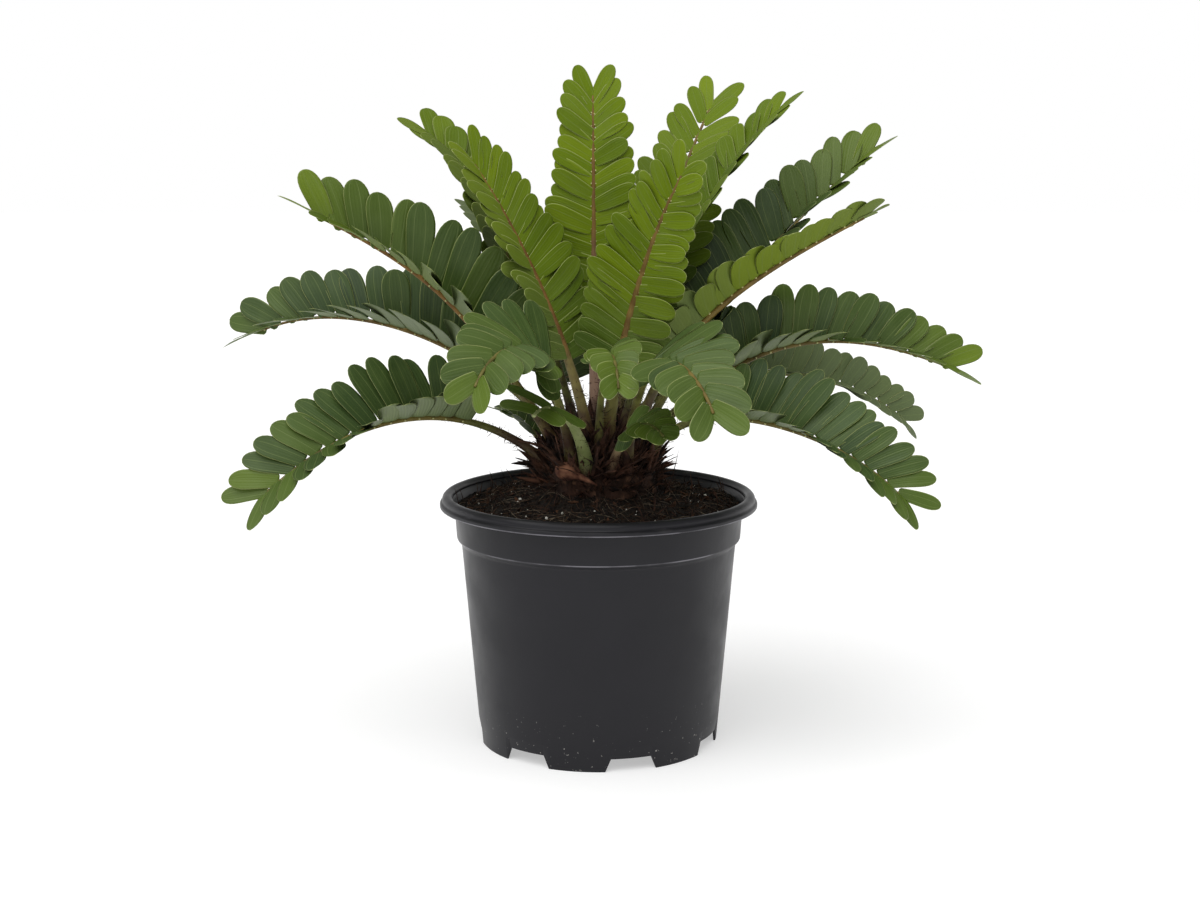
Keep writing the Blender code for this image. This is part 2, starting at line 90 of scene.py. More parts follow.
def signed_volume(points, faces):
    """A sixth of the sum of the triple products of each face's fan of triangles."""
    total = 0.0
    for k in range(1, faces.shape[1] - 1):
        a, b, c = points[faces[:, 0]], points[faces[:, k]], points[faces[:, k + 1]]
        total += np.einsum("ij,ij->i", a, np.cross(b, c)).sum() / 6.0
    return total


def mesh_piece(name, points, face_sets, material, values=None):
    """An object at the origin from arrays of points and faces, turned so that its faces point out.

    Each entry of values becomes a point attribute: one number, or a vector of three."""
    points = np.asarray(points, np.float64).reshape(-1, 3)
    if sum(signed_volume(points, faces) for faces in face_sets) < 0:
        face_sets = [faces[:, ::-1] for faces in face_sets]
    sizes = np.concatenate([np.full(len(faces), faces.shape[1]) for faces in face_sets])
    corners = np.concatenate([faces.ravel() for faces in face_sets]).astype(np.int32)
    mesh = bpy.data.meshes.new(name)
    mesh.vertices.add(len(points))
    mesh.vertices.foreach_set("co", points.astype(np.float32).ravel())
    mesh.loops.add(len(corners))
    mesh.loops.foreach_set("vertex_index", corners)
    mesh.polygons.add(len(sizes))
    starts = np.concatenate([[0], np.cumsum(sizes)[:-1]]).astype(np.int32)
    mesh.polygons.foreach_set("loop_start", starts)
    mesh.update(calc_edges=True)
    mesh.validate()
    mesh.shade_smooth()
    for key, value in (values or {}).items():
        value = np.asarray(value, np.float32)
        vector = value.size == 3 * len(points)
        kind, field = ("FLOAT_VECTOR", "vector") if vector else ("FLOAT", "value")
        mesh.attributes.new(key, kind, "POINT").data.foreach_set(field, value.ravel())
    piece = bpy.data.objects.new(name, mesh)
    bpy.context.scene.collection.objects.link(piece)
    mesh.materials.append(material)
    return piece


def new_material(name, roughness, specular=0.5):
    """An empty Principled material and its node tree and shader."""
    material = bpy.data.materials.new(name)
    material.use_nodes = True
    shader = material.node_tree.nodes["Principled BSDF"]
    shader.inputs["Roughness"].default_value = roughness
    shader.inputs["Specular IOR Level"].default_value = specular
    return material, material.node_tree, shader


def add_node(tree, kind, settings=None, **inputs):
    """A shader node with some of its settings, and with values or links on its named inputs."""
    node = tree.nodes.new(kind)
    for key, value in (settings or {}).items():
        setattr(node, key, value)
    for key, value in inputs.items():
        socket = node.inputs[int(key[1:])] if key[0] == "i" and key[1:].isdigit() else node.inputs[key]
        if isinstance(value, bpy.types.NodeSocket):
            tree.links.new(value, socket)
        else:
            socket.default_value = value
    return node


def mixed(tree, share, first, second):
    """The colour between two colours at a share from 0 to 1."""
    node = add_node(tree, "ShaderNodeMix", {"data_type": "RGBA"}, i0=share, i6=first, i7=second)
    return node.outputs[2]


def ranged(tree, value, low, high, to_low=0.0, to_high=1.0):
    """A value carried from one range to another along a smooth step, and held at its ends."""
    settings = {"interpolation_type": "SMOOTHSTEP"}
    node = add_node(tree, "ShaderNodeMapRange", settings, i0=value, i1=low, i2=high, i3=to_low, i4=to_high)
    return node.outputs[0]


def noise(tree, place, scale, detail=3.0, stretch=(1.0, 1.0, 1.0)):
    """Fractal noise from 0 to 1 over a place, which may be stretched along its axes first."""
    moved = add_node(tree, "ShaderNodeMapping", None, Vector=place, Scale=stretch)
    node = add_node(
        tree, "ShaderNodeTexNoise", None, Vector=moved.outputs[0], Scale=scale, Detail=detail
    )
    return node.outputs["Fac"]


def rounded(profile, reach, steps=4):
    """Each corner of a closed profile becomes a quadratic curve that starts and ends at reach from it.

    A point on either side of the curve keeps the shading of the flat between two corners flat."""
    profile = np.asarray(profile, float)
    to_before, to_after = np.roll(profile, 1, 0) - profile, np.roll(profile, -1, 0) - profile
    before, after = np.linalg.norm(to_before, axis=1), np.linalg.norm(to_after, axis=1)
    near = np.minimum(reach, 0.3 * np.minimum(before, after))
    start = profile + to_before / before[:, None] * near[:, None]
    end = profile + to_after / after[:, None] * near[:, None]
    t = np.linspace(0.0, 1.0, steps)[None, :, None]
    curve = (1 - t) ** 2 * start[:, None] + 2 * (1 - t) * t * profile[:, None] + t**2 * end[:, None]
    lead = profile + 1.6 * (start - profile)
    tail = profile + 1.6 * (end - profile)
    return np.concatenate([lead[:, None], curve, tail[:, None]], 1).reshape(-1, 2)


def notch_lift(angle):
    """How high the foot's edge stands above the ground at an angle: 0, or a notch's flat-topped hump."""
    spacing = math.tau / NOTCHES
    off = np.abs((angle - FIRST_NOTCH + spacing / 2) % spacing - spacing / 2)
    share = (NOTCH_HALF_BOTTOM - off) / (NOTCH_HALF_BOTTOM - NOTCH_HALF_TOP)
    return NOTCH_HEIGHT * np.clip(share, 0.0, 1.0)


roll_angle = np.radians(np.linspace(180, 5, 14))
roll = np.stack([0.11195 + 0.00395 * np.cos(roll_angle), 0.1825 + 0.0040 * np.sin(roll_angle)], -1)
wall_profile = np.concatenate([
    rounded([
        (BASE_RADIUS, 0.0),
        (BASE_RADIUS + BODY_SLOPE * NOTCH_FADE, NOTCH_FADE),
        (BODY_RADIUS_TOP, STEP_BOTTOM),
        (COLLAR_RADIUS_BOTTOM - 0.0002, COLLAR_BOTTOM),
        (COLLAR_RADIUS_TOP, LIP_BOTTOM + 0.0012),
        (RIM_RADIUS - WALL, LIP_BOTTOM + 0.0020),
        (RIM_RADIUS - WALL, LIP_BOTTOM - 0.0004),
        (RIM_RADIUS, LIP_BOTTOM),
        (RIM_RADIUS, POT_HEIGHT - 0.0064),
        (RIM_RADIUS - 0.0012, POT_HEIGHT - 0.0054),
        (0.11195, POT_HEIGHT - 0.0045),
        (0.11195, LIP_BOTTOM + 0.0040),
        (OPENING_RADIUS + 0.0002, LIP_BOTTOM + 0.0044),
        (COLLAR_RADIUS_TOP - WALL, LIP_BOTTOM - 0.0020),
        (COLLAR_RADIUS_BOTTOM - WALL, COLLAR_BOTTOM + 0.0010),
        (BODY_RADIUS_TOP - WALL, STEP_BOTTOM),
        (BASE_RADIUS + BODY_SLOPE * NOTCH_FADE - WALL, NOTCH_FADE),
        (BASE_RADIUS - WALL, 0.0),
    ], 0.0011)
])
corner_points = 6
roll_from, roll_to = 10 * corner_points - 1, 13 * corner_points - 4
wall_profile = np.concatenate([wall_profile[:roll_from], roll[::-1], wall_profile[roll_to:]])

notch_edges = np.array([-1, 1])[:, None] * np.array([NOTCH_HALF_TOP, NOTCH_HALF_BOTTOM])[None, :]
notch_edges = (notch_edges.reshape(-1, 1) + np.array([-0.003, 0.0, 0.003])[None, :]).ravel()
notch_centres = FIRST_NOTCH + np.arange(NOTCHES) * math.tau / NOTCHES
turn = np.concatenate([np.arange(240) * math.tau / 240, (notch_centres[:, None] + notch_edges).ravel()])
turn = np.unique(np.round(turn % math.tau, 5))


def turned(profile, angles):
    """A profile of radius and height carried round the Z axis: one row of points per profile point."""
    radius, height = profile[:, 0][:, None], profile[:, 1][:, None]
    flat = np.ones_like(angles)[None, :]
    return np.stack([radius * np.cos(angles), radius * np.sin(angles), height * flat], -1)


pot_points = turned(wall_profile, turn)
fade = np.clip(1.0 - pot_points[..., 2] / NOTCH_FADE, 0.0, 1.0)
pot_points[..., 2] += notch_lift(turn)[None, :] * fade

pot_plastic, tree, shader = new_material("pot plastic", 0.36, 0.27)
place = add_node(tree, "ShaderNodeTexCoord").outputs["Object"]
height = add_node(tree, "ShaderNodeSeparateXYZ", None, Vector=place).outputs["Z"]
cloud = noise(tree, place, 14.0, 4.0)
plain = mixed(tree, cloud, (0.0058, 0.0056, 0.0078, 1), (0.0100, 0.0096, 0.0128, 1))
flat = add_node(tree, "ShaderNodeVectorMath", {"operation": "MULTIPLY"}, i0=place, i1=(1.0, 1.0, 0.0))
radius = add_node(tree, "ShaderNodeVectorMath", {"operation": "LENGTH"}, i0=flat.outputs[0]).outputs[1]


def thin_line(value, centre, half):
    """1 where a value lies within half of a centre, and 0 from twice as far."""
    off = add_node(tree, "ShaderNodeMath", {"operation": "SUBTRACT"}, i0=value, i1=centre).outputs[0]
    off = add_node(tree, "ShaderNodeMath", {"operation": "ABSOLUTE"}, i0=off).outputs[0]
    return ranged(tree, off, 2 * half, half)


# Painted highlight: thin pale lines along the lip's lower edge and the collar's bottom edge, where light catches the
# moulded edges, broken up by noise.
edges = add_node(
    tree, "ShaderNodeMath", {"operation": "MULTIPLY"},
    i0=thin_line(height, LIP_BOTTOM + 0.0002, 0.00035), i1=ranged(tree, radius, 0.1155, 0.1168),
).outputs[0]
edges = add_node(
    tree, "ShaderNodeMath", {"operation": "MAXIMUM"}, i0=edges, i1=thin_line(height, COLLAR_BOTTOM + 0.0001, 0.0003)
).outputs[0]
broken = ranged(tree, noise(tree, place, 30.0, 5.0), 0.35, 0.60, 0.15, 0.9)
edges = add_node(tree, "ShaderNodeMath", {"operation": "MULTIPLY"}, i0=edges, i1=broken).outputs[0]
specks = ranged(tree, noise(tree, place, 420.0, 2.0), 0.69, 0.76)
low = ranged(tree, height, 0.050, 0.004)
dusty = add_node(tree, "ShaderNodeMath", {"operation": "MULTIPLY"}, i0=specks, i1=low).outputs[0]
scuffs = ranged(tree, noise(tree, place, 60.0, 6.0, (1.0, 1.0, 5.0)), 0.60, 0.74)
on_rim = ranged(tree, height, 0.1770, 0.1840)
worn = add_node(tree, "ShaderNodeMath", {"operation": "MULTIPLY"}, i0=scuffs, i1=on_rim).outputs[0]
colour = mixed(tree, worn, plain, (0.040, 0.039, 0.042, 1))
# Lay the painted highlight lines over the plastic.
colour = mixed(tree, edges, colour, (0.170, 0.165, 0.185, 1))
colour = mixed(tree, dusty, colour, (0.30, 0.29, 0.27, 1))
tree.links.new(colour, shader.inputs["Base Color"])
tree.links.new(ranged(tree, noise(tree, place, 35.0, 4.0), 0.3, 0.7, 0.34, 0.46), shader.inputs["Roughness"])
grain = add_node(
    tree, "ShaderNodeBump", None, Strength=0.12, Distance=0.0002, Height=noise(tree, place, 900.0, 2.0)
)
tree.links.new(grain.outputs[0], shader.inputs["Normal"])

pot_wall = mesh_piece(
    "pot_wall", pot_points, [grid_faces(len(wall_profile), len(turn), closed=True)], pot_plastic
)
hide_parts("pot")
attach(pot_wall, "root")


# Pot floor
# The raised base plate, moulded with the wall, which stands clear of the ground inside the foot ring.
# A round drain hole sits behind each notch, and one more in the middle.

FLOOR_HEIGHT = 0.0110
FLOOR_THICKNESS = 0.0018
DRAIN_RADIUS = 0.0060
DRAIN_RING = 0.0700

floor_edge = BASE_RADIUS + 0.0010 - WALL + 0.0006
floor_profile = rounded([
    (0.0004, FLOOR_HEIGHT),
    (floor_edge, FLOOR_HEIGHT),
    (floor_edge, FLOOR_HEIGHT + FLOOR_THICKNESS),
    (0.0004, FLOOR_HEIGHT + FLOOR_THICKNESS),
], 0.0002, 2)
pot_floor = mesh_piece(
    "pot_floor",
    turned(floor_profile, np.arange(96) * math.tau / 96),
    [grid_faces(len(floor_profile), 96, closed=True)],
    pot_plastic,
)
drill_angle = np.arange(24) * math.tau / 24
drill_profile = np.array([(DRAIN_RADIUS, 0.0), (DRAIN_RADIUS, 0.0240)])
drill = turned(drill_profile, drill_angle)
centres = np.stack([DRAIN_RING * np.cos(notch_centres), DRAIN_RING * np.sin(notch_centres), 0 * notch_centres], -1)
centres = np.concatenate([centres, [[0.0, 0.0, 0.0]]])
drills = mesh_piece(
    "drills",
    drill[None] + centres[:, None, None, :],
    [grid_faces(2, 24, len(centres)), cap_faces(2, 24, len(centres))],
    pot_plastic,
)
cut = pot_floor.modifiers.new("drain holes", "BOOLEAN")
cut.operation = "DIFFERENCE"
cut.object = drills
bpy.context.view_layer.update()
drained = bpy.data.meshes.new_from_object(pot_floor.evaluated_get(bpy.context.evaluated_depsgraph_get()))
pot_floor.modifiers.clear()
pot_floor.data = drained
bpy.data.objects.remove(drills)
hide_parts("pot")
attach(pot_floor, "root")


# Soil
# Moist peat potting mix, nearly level with the rim and heaped up to the stem, crumbled on top.

SOIL_EDGE = 0.1770
SOIL_MOUND = 0.0150
SOIL_INNER = 0.0340
SOIL_OUTER = COLLAR_RADIUS_TOP - WALL - 0.0004


def lattice_noise(x, y, seed):
    """Smooth noise from -1 to 1: random values at whole-number points, blended by a cubic."""
    xi, yi = np.floor(x).astype(np.int64), np.floor(y).astype(np.int64)
    fx, fy = x - xi, y - yi
    fx, fy = fx * fx * (3 - 2 * fx), fy * fy * (3 - 2 * fy)

    def corner(a, b):
        mixed_up = (a * 374761393 + b * 668265263 + seed * 362437) & 0xFFFFFFFF
        mixed_up = ((mixed_up ^ (mixed_up >> 13)) * 1274126177) & 0xFFFFFFFF
        return (mixed_up ^ (mixed_up >> 16)) / 2.0**31 - 1.0

    low_side = corner(xi, yi) * (1 - fx) + corner(xi + 1, yi) * fx
    high_side = corner(xi, yi + 1) * (1 - fx) + corner(xi + 1, yi + 1) * fx
    return low_side * (1 - fy) + high_side * fy


def soil_height(x, y):
    """The mound towards the stem plus four sizes of crumbs, which fade out at the pot's wall."""
    share = np.clip((SOIL_OUTER - np.hypot(x, y)) / (SOIL_OUTER - 0.038), 0.0, 1.15)
    height = SOIL_EDGE + SOIL_MOUND * np.minimum(share, 1.0) ** 1.3
    crumbs = 0.0
    for size, depth, seed in ((0.026, 0.0026, 3), (0.010, 0.0018, 5), (0.0042, 0.0011, 7), (0.002, 0.0005, 9)):
        crumbs = crumbs + depth * lattice_noise(x / size, y / size, seed)
    return height + crumbs * np.clip(0.35 + 3.0 * share, 0.0, 1.0)


soil_turn = np.arange(260) * math.tau / 260
soil_rows = np.concatenate([
    [(SOIL_INNER, 0.0600), (SOIL_INNER, 0.1600)],
    np.stack([np.linspace(SOIL_INNER, SOIL_OUTER, 70), np.full(70, SOIL_EDGE)], -1),
    [(COLLAR_RADIUS_BOTTOM - WALL - 0.0006, COLLAR_BOTTOM + 0.001)],
    [(BODY_RADIUS_TOP - WALL - 0.0006, STEP_BOTTOM), (BASE_RADIUS - WALL + 0.0004, 0.0132)],
    [(SOIL_INNER, 0.0132)],
])
soil_points = turned(soil_rows, soil_turn)
on_top = slice(2, 72)
soil_points[on_top, :, 2] = soil_height(soil_points[on_top, :, 0], soil_points[on_top, :, 1])

potting_soil, tree, shader = new_material("potting soil", 0.95, 0.25)
place = add_node(tree, "ShaderNodeTexCoord").outputs["Object"]
colour = mixed(tree, noise(tree, place, 70.0, 8.0), (0.0022, 0.0014, 0.0010, 1), (0.012, 0.0075, 0.0048, 1))
flecks = ranged(tree, noise(tree, place, 520.0, 4.0), 0.62, 0.70)
colour = mixed(tree, flecks, colour, (0.045, 0.026, 0.014, 1))
tree.links.new(colour, shader.inputs["Base Color"])
rough = noise(tree, place, 380.0, 8.0)
crumbly = add_node(tree, "ShaderNodeBump", None, Strength=0.9, Distance=0.0015, Height=rough)
tree.links.new(crumbly.outputs[0], shader.inputs["Normal"])

soil = mesh_piece("soil_heap", soil_points, [grid_faces(len(soil_rows), 260, closed=True)], potting_soil)
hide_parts("soil")
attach(soil, "root")


# Crumbs, bark and perlite
# Loose bits that lie on the soil: peat crumbs, shreds of bark and white grains of expanded perlite.

golden = (1 + math.sqrt(5)) / 2
LUMP = np.array([
    (-1, golden, 0), (1, golden, 0), (-1, -golden, 0), (1, -golden, 0), (0, -1, golden), (0, 1, golden),
    (0, -1, -golden), (0, 1, -golden), (golden, 0, -1), (golden, 0, 1), (-golden, 0, -1), (-golden, 0, 1),
]) / math.hypot(1, golden)
LUMP_FACES = np.array([
    (0, 11, 5), (0, 5, 1), (0, 1, 7), (0, 7, 10), (0, 10, 11), (1, 5, 9), (5, 11, 4), (11, 10, 2), (10, 7, 6),
    (7, 1, 8), (3, 9, 4), (3, 4, 2), (3, 2, 6), (3, 6, 8), (3, 8, 9), (4, 9, 5), (2, 4, 11), (6, 2, 10),
    (8, 6, 7), (9, 8, 1),
])


def random_turns(rng, count):
    """One random rotation matrix each, from a random unit quaternion."""
    q = rng.normal(size=(count, 4))
    w, x, y, z = (q / np.linalg.norm(q, axis=1, keepdims=True)).T
    return np.stack([
        np.stack([1 - 2 * (y * y + z * z), 2 * (x * y - z * w), 2 * (x * z + y * w)], -1),
        np.stack([2 * (x * y + z * w), 1 - 2 * (x * x + z * z), 2 * (y * z - x * w)], -1),
        np.stack([2 * (x * z - y * w), 2 * (y * z + x * w), 1 - 2 * (x * x + y * y)], -1),
    ], 1)


def lumps(rng, centres, sizes, ragged=0.25):
    """Twenty-sided lumps with each corner pulled in or out, scaled, turned, and set at their centres."""
    count = len(centres)
    shapes = LUMP[None] * (1 + ragged * rng.uniform(-1, 1, (count, 12, 1)))
    shapes = np.einsum("nij,nkj->nki", random_turns(rng, count), shapes * sizes[:, None, :])
    faces = (LUMP_FACES[None] + 12 * np.arange(count)[:, None, None]).reshape(-1, 3)
    return centres[:, None, :] + shapes, faces


def on_soil(rng, count, inner=0.040, outer=0.1035, lift=0.0):
    """Random places on the soil's surface, spread evenly over its area."""
    radius = np.sqrt(rng.uniform(inner**2, outer**2, count))
    angle = rng.uniform(0, math.tau, count)
    x, y = radius * np.cos(angle), radius * np.sin(angle)
    return np.stack([x, y, soil_height(x, y) + lift], -1)


def crumb_material(name, dark, pale, scale):
    """Matt, with a colour that wanders between two values from one bit to the next."""
    material, tree, shader = new_material(name, 0.92, 0.25)
    place = add_node(tree, "ShaderNodeTexCoord").outputs["Object"]
    tint = ranged(tree, noise(tree, place, scale, 4.0), 0.35, 0.65)
    tree.links.new(mixed(tree, tint, (*dark, 1), (*pale, 1)), shader.inputs["Base Color"])
    bump = add_node(
        tree, "ShaderNodeBump", None, Strength=0.5, Distance=0.0004, Height=noise(tree, place, 900.0, 3.0)
    )
    tree.links.new(bump.outputs[0], shader.inputs["Normal"])
    return material


peat = crumb_material("peat crumbs", (0.0025, 0.0016, 0.0012), (0.016, 0.0095, 0.006), 160.0)
bark_shreds = crumb_material("bark shreds", (0.014, 0.006, 0.0035), (0.075, 0.034, 0.017), 120.0)
perlite = crumb_material("perlite", (0.45, 0.43, 0.38), (0.80, 0.78, 0.73), 300.0)
litter = (
    ("peat_crumbs", 2600, (0.0006, 0.0024), (1.0, 0.85, 0.7), 0.0002, peat, 11),
    ("bark_shreds", 260, (0.0010, 0.0034), (1.7, 0.55, 0.3), 0.0004, bark_shreds, 12),
    ("perlite_grains", 80, (0.0005, 0.0015), (1.0, 0.9, 0.8), 0.0004, perlite, 13),
)
for name, count, (small, large), shape, lift, material, seed in litter:
    rng = np.random.default_rng(seed)
    size = small + (large - small) * rng.uniform(0, 1, count) ** 2.5
    points, faces = lumps(rng, on_soil(rng, count, lift=lift), size[:, None] * np.array(shape))
    points[..., 2] = np.minimum(points[..., 2], POT_HEIGHT + 0.012)
    bits = mesh_piece(name, points, [faces], material)
    bits.data.shade_flat()
    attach(bits, "root")


# Fibres in the soil
# Coir threads and root hairs that curl over the surface.


def unit(vectors):
    return vectors / np.maximum(np.linalg.norm(vectors, axis=-1, keepdims=True), 1e-12)


def tubes(paths, across, lift, half_width, half_height, sides):
    """Elliptic tubes along paths: each point of a ring is the path's point plus the cosine of its angle
    times the half width across, plus the sine times the half height along the lift direction."""
    angle = np.arange(sides) * math.tau / sides
    wide = (half_width[..., None] * np.cos(angle))[..., None] * across[..., None, :]
    high = (half_height[..., None] * np.sin(angle))[..., None] * lift[..., None, :]
    return paths[..., None, :] + wide + high


def path_frames(paths):
    """Forward, side and up directions along paths, the side as level as it can be."""
    forward = unit(np.gradient(paths, axis=-2))
    side = unit(np.cross(forward, np.array([0.31, 0.17, 1.0])))
    return forward, side, np.cross(side, forward)


def bezier(corners, count):
    """Cubic Bezier curves through the first and last of each four corners."""
    t = np.linspace(0.0, 1.0, count)[:, None]
    a, b, c, d = (corners[..., k, None, :] for k in range(4))
    return (1 - t) ** 3 * a + 3 * (1 - t) ** 2 * t * b + 3 * (1 - t) * t**2 * c + t**3 * d


def thread_piece(name, corners, radius, material, count=9, sides=3):
    """Thin threads along Bezier curves, tapered to both ends."""
    paths = bezier(corners, count)
    _, side, up = path_frames(paths)
    taper = np.clip(np.sin(math.pi * (0.12 + 0.83 * np.linspace(0, 1, count))), 0.15, 1.0)
    thick = radius[:, None] * taper[None, :]
    points = tubes(paths, side, up, thick, thick, sides)
    faces = [grid_faces(count, sides, len(corners)), cap_faces(count, sides, len(corners))]
    piece = mesh_piece(name, points, faces, material)
    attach(piece, "root")
    return piece


coir = crumb_material("coir", (0.020, 0.009, 0.005), (0.090, 0.045, 0.023), 240.0)
root_hair = crumb_material("root hairs", (0.050, 0.035, 0.023), (0.20, 0.155, 0.110), 200.0)
for name, count, longest, thick, rise, material, seed in (
    ("coir_threads", 420, 0.030, 0.00022, 0.004, coir, 21),
    ("root_hairs", 320, 0.040, 0.00017, 0.007, root_hair, 22),
):
    rng = np.random.default_rng(seed)
    start = on_soil(rng, count, outer=0.101)
    heading = rng.uniform(0, math.tau, count)
    length = longest * rng.uniform(0.3, 1.0, count)
    corners = np.repeat(start[:, None, :], 4, 1)
    for k in range(1, 4):
        heading = heading + rng.normal(0, 0.7, count)
        step = np.stack([np.cos(heading), np.sin(heading)], -1) * length[:, None] / 3
        corners[:, k, :2] = corners[:, k - 1, :2] + step
        away = np.linalg.norm(corners[:, k, :2], axis=1, keepdims=True)
        corners[:, k, :2] *= np.minimum(1.0, 0.1035 / away)
        lift = rise * rng.uniform(-0.2, 1.0, count) ** 2
        corners[:, k, 2] = soil_height(corners[:, k, 0], corners[:, k, 1]) + lift
    threads = thread_piece(name, corners, np.full(count, thick) * rng.uniform(0.7, 1.3, count), material)


# Stem
# The top of a swollen underground stem, built up from the stubs of old leaf bases, brown and papery,
# with a sunken crown from which the petioles rise.

DOME_CENTRE = 0.1880
DOME_RADIUS = 0.0440
DOME_HEIGHT = 0.0400
SCALES_ROUND = 13

stem_turn = np.arange(180) * math.tau / 180
stem_rise = np.radians(np.concatenate([[-60, -40], np.linspace(-25, 88, 90)]))
stem_points = turned(
    np.stack([DOME_RADIUS * np.cos(stem_rise), DOME_CENTRE + DOME_HEIGHT * np.sin(stem_rise)], -1), stem_turn
)
rows = stem_rise[:, None] / math.radians(16.0)
row = np.floor(rows)
across = np.abs((stem_turn[None, :] / math.tau * SCALES_ROUND + 0.5 * row) % 1.0 - 0.5) * 2
step = rows - row
scale_edge = np.clip(1.0 - (across**2 + step**2), 0.0, 1.0)
relief = 0.0026 * scale_edge**0.5 - 0.0018
rough_skin = lattice_noise(stem_turn[None, :] * 30, stem_rise[:, None] * 26, 31) * 0.0006
out = unit(stem_points - np.array([0, 0, DOME_CENTRE - 0.004]))
stem_points = stem_points + out * (relief + rough_skin)[..., None]

stem_bark, tree, shader = new_material("stem bark", 0.85, 0.25)
place = add_node(tree, "ShaderNodeTexCoord").outputs["Object"]
colour = mixed(tree, ranged(tree, noise(tree, place, 60.0, 8.0), 0.3, 0.7), (0.006, 0.003, 0.002, 1), (0.050, 0.022, 0.013, 1))
straw = ranged(tree, noise(tree, place, 160.0, 6.0, (1, 1, 0.3)), 0.56, 0.68)
colour = mixed(tree, straw, colour, (0.12, 0.060, 0.034, 1))
tree.links.new(colour, shader.inputs["Base Color"])
flaky = add_node(tree, "ShaderNodeBump", None, Strength=0.8, Distance=0.001, Height=noise(tree, place, 300.0, 8.0))
tree.links.new(flaky.outputs[0], shader.inputs["Normal"])
stem = mesh_piece(
    "stem_crown",
    stem_points,
    [grid_faces(len(stem_rise), 180), cap_faces(len(stem_rise), 180)],
    stem_bark,
)
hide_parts("stem")
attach(stem, "root")


# Bracts on the stem
# Dry, narrow, pointed scales left between the leaf bases, dark brown and brittle, a few of them still
# pinkish or tan, and one swollen new leaf base at the front.


def thin_blades(root, axis, across, skin, shape, outline, rows, steps):
    """Closed thin blades, one per root: a ring goes over the upper skin and back under the lower.

    Along the axis the centre line falls by the droop and sideways by the sweep, with the square of the
    distance; the edges rise by the cup with the square of the distance across, and ripple by the wave.
    Also gives the distance along, the share across, the distance to the margin, and which skin."""
    length, half_width, thickness, droop, cup, sweep, wave = (
        np.broadcast_to(shape[key], len(root))[:, None, None]
        for key in ("length", "half_width", "thickness", "droop", "cup", "sweep", "wave")
    )
    t = np.concatenate([steps, steps[-2:0:-1]])
    upper = np.concatenate([np.ones(len(steps)), -np.ones(len(steps) - 2)])
    s = rows[:, None]
    width = outline(s) * half_width
    thick = thickness / 2 * np.sqrt(np.clip(1.02 - t**2, 0.0, 1.0)) * (1.0 - 0.5 * s**3)
    ripple = wave * np.sin(7.0 * s + 40.0 * sweep + 2.0 * np.sign(t)) * np.abs(t) ** 3
    rise = cup * width * t**2 - droop * length * s**2 + ripple + upper * thick
    forward = length * (s + 0 * t)
    aside = width * t + sweep * length * s**2
    points = root[:, None, None, :] + forward[..., None] * axis[:, None, None, :]
    points = points + aside[..., None] * across[:, None, None, :] + rise[..., None] * skin[:, None, None, :]
    margin = np.minimum((1.0 - np.abs(t)) * width, (1.0 - s) * length)
    return points, np.stack([forward, t * (1 + 0 * width), margin], -1), (upper < 0) * (1 + 0 * width)


BRACT_ROWS = np.array([0.0, 0.2, 0.45, 0.7, 0.88, 1.0])
BRACT_STEPS = np.array([-1.0, 0.0, 1.0])


def bract_outline(along):
    """Half width over the greatest half width: a long triangle with a slight belly."""
    return (1.0 - along) ** 0.8 * (0.75 + 0.5 * np.sin(math.pi * along)) + 0.03


def bract_piece(name, root, axis, out, length, half_width, rng, material):
    """Pointed scales that lean along an axis and curl away from the stem at their tips."""
    axis = unit(axis)
    skin = unit(out - np.einsum("ij,ij->i", out, axis)[:, None] * axis)
    shape = {
        "length": length, "half_width": half_width, "thickness": 0.0005,
        "droop": rng.uniform(-0.35, 0.10, len(root)), "cup": -0.35,
        "sweep": rng.normal(0, 0.12, len(root)), "wave": 0.0004,
    }
    points, _, _ = thin_blades(
        root, axis, np.cross(skin, axis), skin, shape, bract_outline, BRACT_ROWS, BRACT_STEPS
    )
    faces = [grid_faces(6, 4, len(root)), cap_faces(6, 4, len(root))]
    piece = mesh_piece(name, points, faces, material)
    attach(piece, "root")


def on_dome(azimuth, elevation, depth=0.001):
    """Points on the stem's dome and the outward directions there."""
    flat = np.cos(elevation)
    away = np.stack([flat * np.cos(azimuth), flat * np.sin(azimuth), np.sin(elevation)], -1)
    place = away * np.array([DOME_RADIUS - depth, DOME_RADIUS - depth, DOME_HEIGHT - depth])
    return place + np.array([0.0, 0.0, DOME_CENTRE]), away


dry_bract = crumb_material("dry bract", (0.006, 0.003, 0.002), (0.075, 0.032, 0.018), 55.0)
fresh_bract = crumb_material("fresh bract", (0.055, 0.018, 0.011), (0.200, 0.090, 0.050), 110.0)
for name, count, low, high, shortest, longest, material, seed in (
    ("dry_bracts", 330, 4, 84, 0.008, 0.022, dry_bract, 31),
    ("fresh_bracts", 14, 8, 50, 0.009, 0.018, fresh_bract, 35),
):
    rng = np.random.default_rng(seed)
    elevation = np.radians(rng.uniform(low, high, count))
    root, away = on_dome(rng.uniform(0, math.tau, count), elevation)
    axis = away + np.array([0.0, 0.0, 1.0]) * rng.uniform(0.0, 1.6, (count, 1)) + rng.normal(0, 0.25, (count, 3))
    length = rng.uniform(shortest, longest, count)
    bract_piece(name, root, axis, away, length, length * rng.uniform(0.12, 0.22, count), rng, material)

